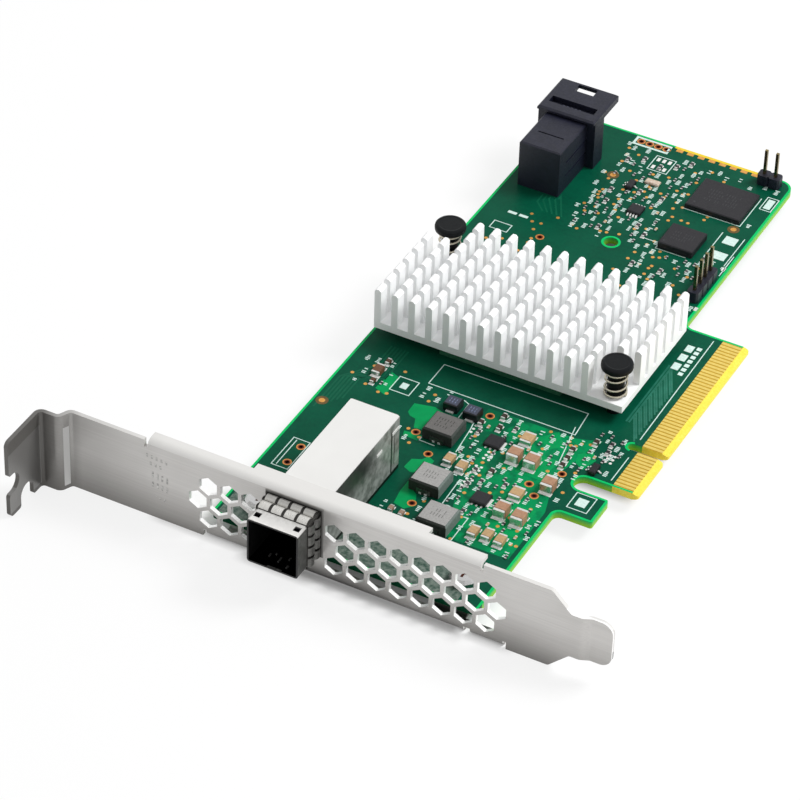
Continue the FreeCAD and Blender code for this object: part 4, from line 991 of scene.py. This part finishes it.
def contact_traces():
    """Pairs of traces that leave the contacts at a slant and stop at the lanes by the heat sink's edge."""
    starts = np.add.outer(np.arange(1.7, 18.5, 2.35), (0, 0.95)).ravel()
    return [[(-7.7, start), (-11, start + 6.9)] for start in starts]


def side_traces():
    """Traces that run along the board's top edge and turn towards the heat sink."""
    routes = []
    for i in range(6):
        x = -67.4 + 0.75 * i
        routes.append([(x, -20.0 + i), (x, -9.0 + 0.3 * i), (x + 4.5, -3.0 - 0.5 * i), (x + 4.5, 4.5)])
    for i in range(5):
        x = -57.0 + 1.1 * i
        turn = x - 2.5 - 0.2 * i
        routes.append([(x, 60.5), (turn, 63.0 + i), (turn, 65.8)])
    return routes


trace_shapes = [stroke(route, trace_width, mask_height) for route in contact_traces()]
trace_shapes += [stroke([(x, 6.5), (x, 26.8)], lane_width, lane_height) for x in (-11.75, -11.15)]
put("traces", joined(trace_shapes), "mask_over_traces")
put("faint_traces", joined([stroke(route, trace_width, mask_height) for route in side_traces()]),
    "mask_over_side_traces")

via_zones = [
    (-37, -12.5, -42, -3, 60), (-50, -44, -25, -4, 12), (-52, -20, 57, 92, 90),
    (-36, -16, 40, 60, 30), (-66, -56, -12, 0.5, 8), (-64, -52, 44, 62, 14),
]
via_places = scattered(via_zones, margin=0.35, spacing=1)
via_outline = polygon(via_diameter, 8)
put("vias", on_board(via_outline, via_places, lane_height), "plated_lands")
put("vias_under", on_board(via_outline, via_places[::2], board_bottom, board_bottom - mask_height),
    "plated_lands")


def on_both_faces(inner, outer, height):
    """Flat rings round the plated holes on both faces of the board."""
    flat = ring(inner, outer, 0, height)
    return joined([repeated(flat, at_level(hole_middles, level)) for level in (0, board_bottom - height)])


put("hole_lands", on_both_faces(well_radius, land_radius, silk_height), "hole_lands")
# Dark red rings at the holes' mouths: painted shade
put("hole_wells", on_both_faces(inner_radius, well_radius, well_height), "hole_wells")
# Dark barrels inside the plated holes: painted shade
barrel = ring(inner_radius, hole_radius, board_bottom, 0)
put("hole_barrels", repeated(barrel, at_level(hole_middles, 0)), "hole_barrels")
# Dark discs in the plated holes under copper: painted shade in the holes
covered = np.any([within(hole_middles, outline) for outline in [field_outline] + pour_outlines], axis=0)
put("hole_shade_discs", on_board(polygon(2 * inner_radius, ring_sides), hole_middles[covered], hole_shade_height),
    "hole_depths")

fiducials = [(-66.8, -17.5), (-49.7, 79.5), (-19.4, 74.6)]
put("fiducial_clearings", on_board(polygon(clearing_diameter, 20), fiducials, well_height),
    "bare_clearing")
put("fiducials", on_board(polygon(fiducial_diameter, 16), fiducials, silk_height, well_height),
    "plated_lands")

# Gold half-pads and strip along the plated stretch of the rear edge
edge_pads = [(x, board_rear) for x in np.linspace(-41, -23.4, 8)]
put("rear_edge_pads", on_board(rectangle(-0.75, 0.75, -1.7, -0.76), edge_pads, silk_height),
    "plated_lands")
put("rear_edge_strip", prism(rectangle(*plated_edge, board_rear - 0.74, board_rear - 0.02), 0, silk_height),
    "edge_plating")

# White print: lines, closed frames and filled fields
memory_low, memory_high = box_of("memory_chip")
flash_low, flash_high = box_of("flash_chip")
silk_lines = [
    [(-6.9, 2.7), (-7.3, 38.2)], [(-6.5, -11.2), (-6.5, -3.3)],
    [(-38.3, -4.3), (-37.2, -11), (-36.5, -18.5)], [(-32, -25.6), (-31.7, -33.4)],
    [(-25.4, -34.7), (-25.3, -42.2)], [(-42.4, -3.6), (-41, -4.2), (-40.9, -9)],
    [(-44.4, -10.9), (-44.4, -18.8), (-41, -18.9)],
    [(memory_low[0] - 0.35, memory_low[1] - 0.3), (memory_high[0] + 0.35, memory_low[1] - 0.3),
     (memory_high[0] + 0.35, memory_high[1] + 0.4)],
    [(flash_low[0] - 0.3, flash_low[1] + 1.4), (flash_low[0] - 0.3, flash_low[1] - 0.35),
     (flash_high[0] - 1.2, flash_low[1] - 0.35)],
    [(-20.9, 63), (-20.9, 72.6)], [(-15.9, 62), (-15.9, 72.6)], [(-15.4, 58.5), (-15.4, 66)],
    [(-65.1, -38.9), (-65.1, -30.6)], [(-29, 42.2), (-23, 42.4), (-23, 46)],
    [(-34.4, 62.6), (-31.4, 62.6)], [(-55.6, -33.9), (-57.4, -33.9)], [(-19.6, -0.1), (-17.6, -11.8)],
]
silk_frames = [
    [(-51, -2.3), (-18.6, -2.3), (-19.2, 4.9), (-51, 4.5)],
    rectangle(-66, -62.4, -39.3, -30.2), rectangle(-44.5, -40, 85.3, 90.6),
    rectangle(-64.2, -60.2, 50, 52.6), rectangle(-56.9, -52.6, -7.8, -3.2),
    rectangle(-10.6, -6.4, -22.4, -17.6), rectangle(-17.7, -15.2, 84, 88.7),
]
silk_fields = [
    rectangle(-19.7, -16.9, 69.2, 71.9), rectangle(-19.9, -16.7, 63.5, 66.1),
    rectangle(-17.2, -15.7, 84.6, 88.1), rectangle(-55.5, -54, -6.4, -4.6),
    rectangle(-9.6, -7.4, -21.2, -18.8), rectangle(-63.2, -61.2, 56.4, 57.2),
    rectangle(-60.6, -58.6, 56.4, 57.2),
]
silk_fields += [rectangle(-11.3, -9.7, y, y + 2.2) for y in (26, 29.2, 32.4)]
silk_fields += [rectangle(-9.2, -8.2, y, y + 1) for y in np.arange(24.8, 35, 1.5)]
bold_frame = rectangle(-51, -43.2, board_rear - 3.45, board_rear - 0.95)
print_shapes = [stroke(route, silk_width, silk_height) for route in silk_lines]
print_shapes += [stroke(route, silk_width, silk_height, True) for route in silk_frames]
print_shapes += [prism(outline, 0, silk_height) for outline in silk_fields]
print_shapes.append(stroke(bold_frame, bold_width, silk_height, True))
put("print_lines", joined(print_shapes), "silkscreen_ink")

spare_pads = [(x, y) for y in (86.5, 89.4) for x in (-43.6, -42.3, -41)]
spare_pads += [(-15.5, 61), (-16.6, 59), (-14.9, 46)]
pad_groups = np.array([(-30.4, -25.6), (-30.4, -16.4), (-9.4, -5.6), (-36.2, -10.5), (-30.6, -21.3)])
group_steps = np.array([(x, y) for x in (-0.55, 0.55) for y in (-1.1, 0, 1.1)])
group_places = (pad_groups[:, None, :] + group_steps).reshape(-1, 2)
put("spare_pad_groups", on_board(polygon(0.66, 8), group_places, silk_height),
    "bright_solder")
put("spare_pads", on_board(rectangle(-0.36, 0.36, -0.62, 0.62), spare_pads, silk_height),
    "bright_solder")


def mark_bars(places, level):
    """Rows of short strokes that stand for printed marks, standing on a level: stroke k of a row lies k
    pitches along Y from its start and runs a drawn length along X."""
    half = draw.uniform(*mark_lengths, (len(places), mark_count)) / 2
    shown = draw.uniform(size=half.shape) < mark_share
    x = np.repeat(places[:, :1], mark_count, axis=1)[shown]
    y = (places[:, 1:] + np.arange(mark_count) * mark_pitch)[shown]
    half = half[shown]
    top = level + mark_height
    return flat_bars(x - half, x + half, y - mark_half, y + mark_half, level, top, mark_edge)


mark_zones = [
    (-37, -13, -42, -3.5, 260), (-50.5, -43.5, -22, -3, 30), (-52, -33, 58, 91, 240),
    (-34, -15.5, 41, 62, 60), (-22.5, -16.2, 56, 93, 40), (-66, -58, -10, 0.5, 20),
    (-14, -8, -12, 1.5, 40), (-36, -22, 88.5, 92.5, 26), (-42, -33, -44, -37, 14),
]
mark_places = scattered(mark_zones, margin=0.6, spacing=1.75)
put("print_marks", mark_bars(mark_places, 0), "silkscreen_ink")
put("print_marks_under", mark_bars(mark_places[::3], board_bottom - mark_height),
    "silkscreen_ink")

# Chips: rows of short strokes for marking, a dot at the first corner, bright pads and leads


def chip_strokes(rows, columns, pitch, row_pitch, *nodes):
    """Rows of short strokes on the tops of nodes: stroke i of row j lies i pitches along X and j row pitches
    along Y from the middle of the block of marks, and runs a drawn length along Y."""
    strokes = []
    for node in nodes:
        low, high = box_of(node)
        middle = (low + high) / 2
        x, y = np.meshgrid((np.arange(columns) - (columns - 1) / 2) * pitch,
                           (np.arange(rows) - (rows - 1) / 2) * row_pitch)
        shown = draw.uniform(size=x.shape) < stroke_share
        half = draw.uniform(*stroke_lengths, x.shape)[shown] * row_pitch
        x, y = x[shown] + middle[0], y[shown] + middle[1]
        left, right = (side * pitch for side in stroke_sides)
        strokes.append(flat_bars(x - left, x + right, y - half, y + half,
                                 high[2] - stroke_sink, high[2] + stroke_rise, stroke_edge))
    return joined(strokes)


put("memory_marking", chip_strokes(4, 12, 0.62, 1.15, "memory_chip"), "chip_marking_ink")
put("flash_marking", chip_strokes(3, 8, 0.6, 1.1, "flash_chip"), "chip_marking_ink")
put("dark_inductor_marking", chip_strokes(3, 6, 0.62, 1.05, "inductor_1"),
    "dark_inductor_ink")
put("pale_inductor_marking", chip_strokes(2, 5, 0.6, 1.25, "inductor_2", "inductor_3"),
    "inductor_marking_ink")
put("tantalum_marking", chip_strokes(2, 3, 0.62, 0.8, "tantalum_capacitor_1", "tantalum_capacitor_2"),
    "tantalum_ink")
marked_boxes = ((memory_low, memory_high), (flash_low, flash_high))
dot_places = [low + (high - low) * (0.12, 0.14, 1) for low, high in marked_boxes]
put("chip_first_corners", repeated(prism(polygon(0.55, 14), 0, 0.01), dot_places),
    "chip_marking_ink")


def end_pads(x, half, low, high, top):
    """Bars that come out from under the two ends of a body, at a place along X."""
    return [((x - half, low[1] - pad_out, 0), (x + half, low[1] + pad_under, top)),
            ((x - half, high[1] - pad_under, 0), (x + half, high[1] + pad_out, top))]


pads = []
for low, high in map(box_of, ("regulator_chip_1", "regulator_chip_2")):
    for share in (0.2, 0.5, 0.8):
        pads += end_pads(low[0] + share * (high[0] - low[0]), lead_half, low, high, lead_top)
    pads.append(((high[0] - 0.1, low[1] + 0.4, 0), (high[0] + 0.5, high[1] - 0.5, lead_top)))
for low, high in map(box_of, ("tantalum_capacitor_1", "tantalum_capacitor_2")):
    pads += end_pads((low[0] + high[0]) / 2, lug_half, low, high, lug_top)
for low, high in zip(*solid_boxes("inductor_terminals")):
    for x in low[0] + np.array((0.28, 0.68)) * (high[0] - low[0]):
        pads.append(((x - 0.28, low[1] - 0.05, 0.05), (x + 0.28, low[1] + 0.1, 0.5)))
put("regulator_pads", slabs(pads, edge=0.03), "bright_solder")

# Push pins, turned to a mushroom head, and their coil springs


def push_pin(node, spring):
    """Turned pin: barb, shank, thick neck that flares into a domed head."""
    low, high = box_of(node)
    foot, top = low[2], high[2]
    base = box_of(spring)[0][2]
    radius = (high[0] - low[0]) / 2
    profile = [
        (0.65, foot), (2, foot + 1.7), (2, foot + 2), (1.3, foot + 2), (1.3, base + 0.5),
        (1.75, base + 0.5), (1.75, top - 3), (1.95, top - 2.2), (2.5, top - 1.75),
        (radius - 0.3, top - 1.6), (radius - 0.05, top - 1.35), (radius, top - 1.1), (radius, top - 0.55),
        (radius - 0.08, top - 0.3), (radius - 0.25, top - 0.12), (radius - 0.5, top - 0.02),
        (radius - 0.7, top), (radius - 1, top - 0.05),
    ]
    place = (*(low + high)[:2] / 2, 0)
    pin = repeated(turned(profile, pin_sides), [place])
    put(node + "_turned", pin, "push_pin_nylon", [node])


def coil_spring(node):
    """Coil: at a share t of its length the wire's middle is at angle 2 pi turns t, and its level eases in
    and out so that the end turns lie flat; a round section (u, v) adds u upwards and v outwards."""
    low, high = box_of(node)
    radius = ((high[0] - low[0]) / 2 - wire_diameter / 2) * coil_share
    share = np.linspace(0, 1, int(coil_turns * turn_steps))
    angle = 2 * np.pi * coil_turns * share
    ease = share - coil_flatness * np.sin(2 * np.pi * share) / (2 * np.pi)
    level = low[2] + wire_diameter / 2 + (high[2] - low[2] - wire_diameter) * ease
    out = np.column_stack([np.cos(angle), np.sin(angle)])[:, None, :]
    upward, outward = polygon(wire_diameter, coil_sides).T
    flat = (low + high)[:2] / 2 + out * (radius + outward)[:, None]
    rows = np.concatenate([flat, (level[:, None] + upward)[:, :, None]], axis=2)
    put(node + "_wound", lofted(rows), "spring_wire", [node], True)


for side in ("front", "rear"):
    push_pin("push_pin_" + side, "push_pin_spring_" + side)
    coil_spring("push_pin_spring_" + side)

# Spring collar round the external port: two rows of bowed fingers on each side


def collar_finger(width, start, length):
    """Bowed finger from y = -start to -(start + length): at a share t along it, its top stands at the
    lift plus the rise times sin(pi t) to a power; four corners at each step make its strip."""
    along = np.linspace(0, 1, finger_steps)
    top = finger_lift + finger_rise * np.sin(np.pi * along) ** finger_power
    y = -start - length * along
    half = width / 2
    corners = [(-half, top - finger_sheet), (half, top - finger_sheet), (half, top), (-half, top)]
    return lofted(np.stack([np.column_stack([np.full_like(y, u), y, v]) for u, v in corners], axis=1))


def spring_collar():
    """Fingers on the four sides of the nose, and a dark band under them that stands as painted shade between
    them, each made on top and turned about Y by quarter turns."""
    low, high = box_of("external_port_spring_collar")
    length = high[1] - low[1]
    middle = (low + high) / 2
    half_sizes = ((high - low) / 2)[[0, 2]] - collar_clear
    fingers = []
    bands = []
    for turn in range(4):
        half_width, half_height = half_sizes if turn % 2 == 0 else half_sizes[::-1]
        pitch = 2 * half_width / fingers_per_row
        steps = (np.arange(fingers_per_row) - (fingers_per_row - 1) / 2) * pitch
        places = [(step, 0, half_height) for step in steps]
        row = joined([repeated(collar_finger(pitch - finger_gap, start * length, share * length), places)
                      for start, share in finger_rows])
        band_outline = rectangle(-half_width, half_width, 0.05 - length, -0.02)
        band = prism(band_outline, *(half_height + level for level in band_levels))
        angle = turn * np.pi / 2
        for shapes, (points, blocks) in ((fingers, row), (bands, band)):
            x = points[:, 0] * np.cos(angle) + points[:, 2] * np.sin(angle)
            z = points[:, 2] * np.cos(angle) - points[:, 0] * np.sin(angle)
            shapes.append((np.column_stack([x + middle[0], points[:, 1] + high[1], z + middle[2]]), blocks))
    put("spring_collar_bowed", joined(fingers), "spring_sheet",
        ["external_port_spring_collar"])
    put("spring_collar_shade_band", joined(bands), "shaded_band")


spring_collar()

# Rows of short stamped strokes on the bracket's face: first place along X, level, count, height
stamp_rows = [(-81.6, 10.4, 5, 0.8), (-80.8, 8.6, 3, 0.8), (-80.4, 5.6, 4, 1.5), (-80.4, 3.4, 4, 1.3),
              (-79.9, 0.8, 3, 0.7)]
stamp_steps = [(x + stamp_pitch * i, z - stamp_drop * i, tall)
               for x, z, count, tall in stamp_rows for i in range(count)]
stamps = [((x, face_y - 0.04, z), (x + stamp_width, face_y + 0.02, z + tall)) for x, z, tall in stamp_steps]
put("stamped_marks", slabs(stamps, edge=0.02), "stamped_edge")

# Painted shade between the bracket and the collar's root: dark bars on the face above, left, right and below
# the nose
gap_low = nose_low - (0.6, 0, 0.5)
gap_high = nose_high + (0.95, 0, 1.1)
gap_bars = [
    (gap_low[0], gap_high[0], nose_high[2], gap_high[2]),
    (gap_low[0], nose_low[0], gap_low[2], nose_high[2]),
    (nose_high[0], gap_high[0], gap_low[2], nose_high[2]),
    (nose_low[0], nose_high[0], gap_low[2], nose_low[2]),
]
gap_slabs = [((left, face_y - 0.04, low), (right, face_y - 0.01, high))
             for left, right, low, high in gap_bars]
put("port_opening_painted_shade", slabs(gap_slabs, edge=0.005), "shaded_gap")

# Guide ribs on the nose's inner floor, and the pale pad behind its lower lip: pale grey as painted glints in
# the dark mouth
lip_y = nose_low[1]
rib_floor = nose_low[2] + 0.35
rib_places = [(-51.9, 2.6, 0.9), (-50.9, 3.6, 0.5), (-49.6, 1.9, 1.5), (-48, 3.4, 0.7), (-47.4, 1.2, 0.8)]
ribs = [((x, lip_y + y, rib_floor - 0.02), (x + 0.35, lip_y + y + run, rib_floor + 0.25))
        for x, y, run in rib_places]
put("nose_guide_ribs", slabs(ribs, edge=0.04), "worn_rib")
lip_x = (nose_low[0] + nose_high[0]) / 2
lip_pad = ((lip_x - 1.2, lip_y + 0.1, rib_floor - 0.02), (lip_x + 1.9, lip_y + 0.4, rib_floor + 0.12))
put("nose_lip_pad", slabs([lip_pad], edge=0.03), "worn_rib")

# Floor and teeth of the internal port's latch window, the teeth paler on top
socket_low, socket_high = box_of("internal_port_housing")
window_x = (socket_low[0] + socket_high[0]) / 2
window_y = socket_high[1] - 9.5
window_floor = ((window_x - 5.25, window_y + 0.02, 10.5), (window_x + 5.25, window_y + 2.18, 11.2))
put("latch_window_floor", slabs([window_floor], edge=0.05), "port_moulding")
tooth_size = (0.4, 0.56, 0.05)
teeth = np.array([(window_x - 0.2 + 0.95 * step, window_y + 0.05, 12.09) for step in range(-2, 3)])
put("latch_window_teeth", boxes(teeth, teeth + tooth_size, edge=0.01), "worn_moulding")

# Two latch tabs on the cage's side, measured from its rear upper corner
tabs = cage_high + [((-0.05, -9.25, -3.95), (0.14, -7.15, -3.25)),
                    ((-0.05, -3.05, -2.95), (0.14, -0.25, -2.25))]
put("cage_latch_tabs", slabs(tabs, edge=0.04), "bright_solder")

# Cross recess in the bracket screws' heads, as thin dark bars of painted shade
screw_lows, screw_highs = solid_boxes("bracket_screws")
screw_tops = at_level((screw_lows + screw_highs)[:, :2] / 2, 0)
screw_tops[:, 2] = screw_highs[:, 2]
recess_half = np.array([(1.25, 0.26, 0.015), (0.26, 1.25, 0.017)])
recesses = boxes(screw_tops[:, None] - recess_half, screw_tops[:, None] + recess_half, edge=0.005)
put("screw_recesses", recesses, "hole_barrels")

# Solder side: a cone of solder round each header post
post_lows, post_highs = (np.vstack(corners) for corners in
                         zip(solid_boxes("rear_header_posts"), solid_boxes("side_header_posts")))
cone = turned([(0.36, -0.95), (0.55, -0.5), (0.95, -0.1), (0.95, -0.03)], 14)
put("solder_joints", repeated(cone, at_level(((post_lows + post_highs) / 2)[:, :2], board_bottom)),
    "tinned_ends")

# Studio


def background_rays(nodes):
    """1 for the rays that should see the white background: from the camera, off metal and through glass."""
    light = nodes.add("ShaderNodeLightPath").outputs
    return Field(nodes, light["Is Camera Ray"]) | light["Is Glossy Ray"] | light["Is Transmission Ray"]


def studio_floor():
    """Wide pale floor that reads as white paper, keeps a faint shadow, and is dark under the card."""
    level = cad_box[0][2] / MM - 0.01
    points = at_level(rectangle(-floor_size, floor_size, -floor_size, floor_size), level)
    mesh = bpy.data.meshes.new("floor")
    mesh.from_pydata((points * MM).tolist(), [], [(0, 1, 2, 3)])
    finish = Finish("floor_paper", (0.93, 0.93, 0.93), roughness=0.9, specular=0)
    x, y, _ = finish.axes()
    patches = [x.span(x_low, x_high, shade_blur) * y.span(y_low, y_high, shade_blur)
               for x_low, x_high, y_low, y_high in card_footprint]
    whiteness = reduce(or_, patches).ramp(floor_whiteness, covered_whiteness, 0, 1)
    seen = background_rays(finish) * whiteness
    glow = finish.add("ShaderNodeEmission", (1, 1, 1, 1), 1)
    blend = finish.add("ShaderNodeMixShader", seen, finish.shader.outputs[0], glow.outputs[0])
    finish.set(finish.tree.nodes["Material Output"].inputs["Surface"], blend.outputs[0])
    mesh.materials.append(finishes["floor_paper"])
    floor = bpy.data.objects.new("floor", mesh)
    bpy.context.scene.collection.objects.link(floor)


def studio_world():
    """White to the camera and in reflections; as light, a soft dome, brightest above and behind the card."""
    world = bpy.data.worlds.new("studio")
    bpy.context.scene.world = world
    world.use_nodes = True
    nodes = Nodes(world.node_tree)
    backdrop = nodes.tree.nodes["Background"]
    nodes.set(backdrop.inputs["Color"], (1, 1, 1, 1))
    direction = nodes.add("ShaderNodeTexCoord").outputs["Generated"]
    towards = nodes.add("ShaderNodeVectorMath", direction, dome_brightest, operation="DOT_PRODUCT")
    level = Field(nodes, towards.outputs["Value"]).ramp(*dome_levels, -dome_spread, dome_spread)
    dome = nodes.add("ShaderNodeBackground", None, level)
    mixed = nodes.add("ShaderNodeMixShader", background_rays(nodes), dome.outputs[0], backdrop.outputs[0])
    nodes.set(nodes.tree.nodes["World Output"].inputs["Surface"], mixed.outputs[0])


def lamp(name, place, aim, size, power):
    """Square soft light at a place, turned to a point."""
    light = bpy.data.lights.new(name, "AREA")
    light.size = size * MM
    light.energy = power
    made = bpy.data.objects.new(name, light)
    facing = (Vector(aim) - Vector(place)).to_track_quat("-Z", "Y")
    made.matrix_world = Matrix.Translation(Vector(place) * MM) @ facing.to_matrix().to_4x4()
    made.visible_glossy = False
    bpy.context.scene.collection.objects.link(made)


def photo_camera():
    """Camera whose backward axis is (sin t cos r, -cos t cos r, sin r) for the turn t and the rise r, rolled
    about it, and placed so that the target falls at its offset in the picture."""
    turn, rise, roll = (math.radians(a) for a in (view_turn, view_rise, view_roll))
    back = Vector((math.sin(turn) * math.cos(rise), -math.cos(turn) * math.cos(rise), math.sin(rise)))
    level = Vector((math.cos(turn), math.sin(turn), 0))
    above = back.cross(level)
    right = level * math.cos(roll) + above * math.sin(roll)
    up = above * math.cos(roll) - level * math.sin(roll)
    eye = Vector(view_target) + back * view_distance - right * view_offset[0] - up * view_offset[1]
    lens = bpy.data.cameras.new("photo_camera")
    lens.sensor_width = sensor_width
    lens.lens = sensor_width * lens_pixels / picture_width
    lens.clip_end = view_reach
    camera = bpy.data.objects.new("photo_camera", lens)
    camera.matrix_world = Matrix.Translation(eye * MM) @ Matrix((right, up, back)).transposed().to_4x4()
    bpy.context.scene.collection.objects.link(camera)
    bpy.context.scene.camera = camera


studio_floor()
studio_world()
lamp("key_light", key_place, key_aim, key_size, key_power)
photo_camera()
bpy.context.scene.view_settings.view_transform = "Standard"
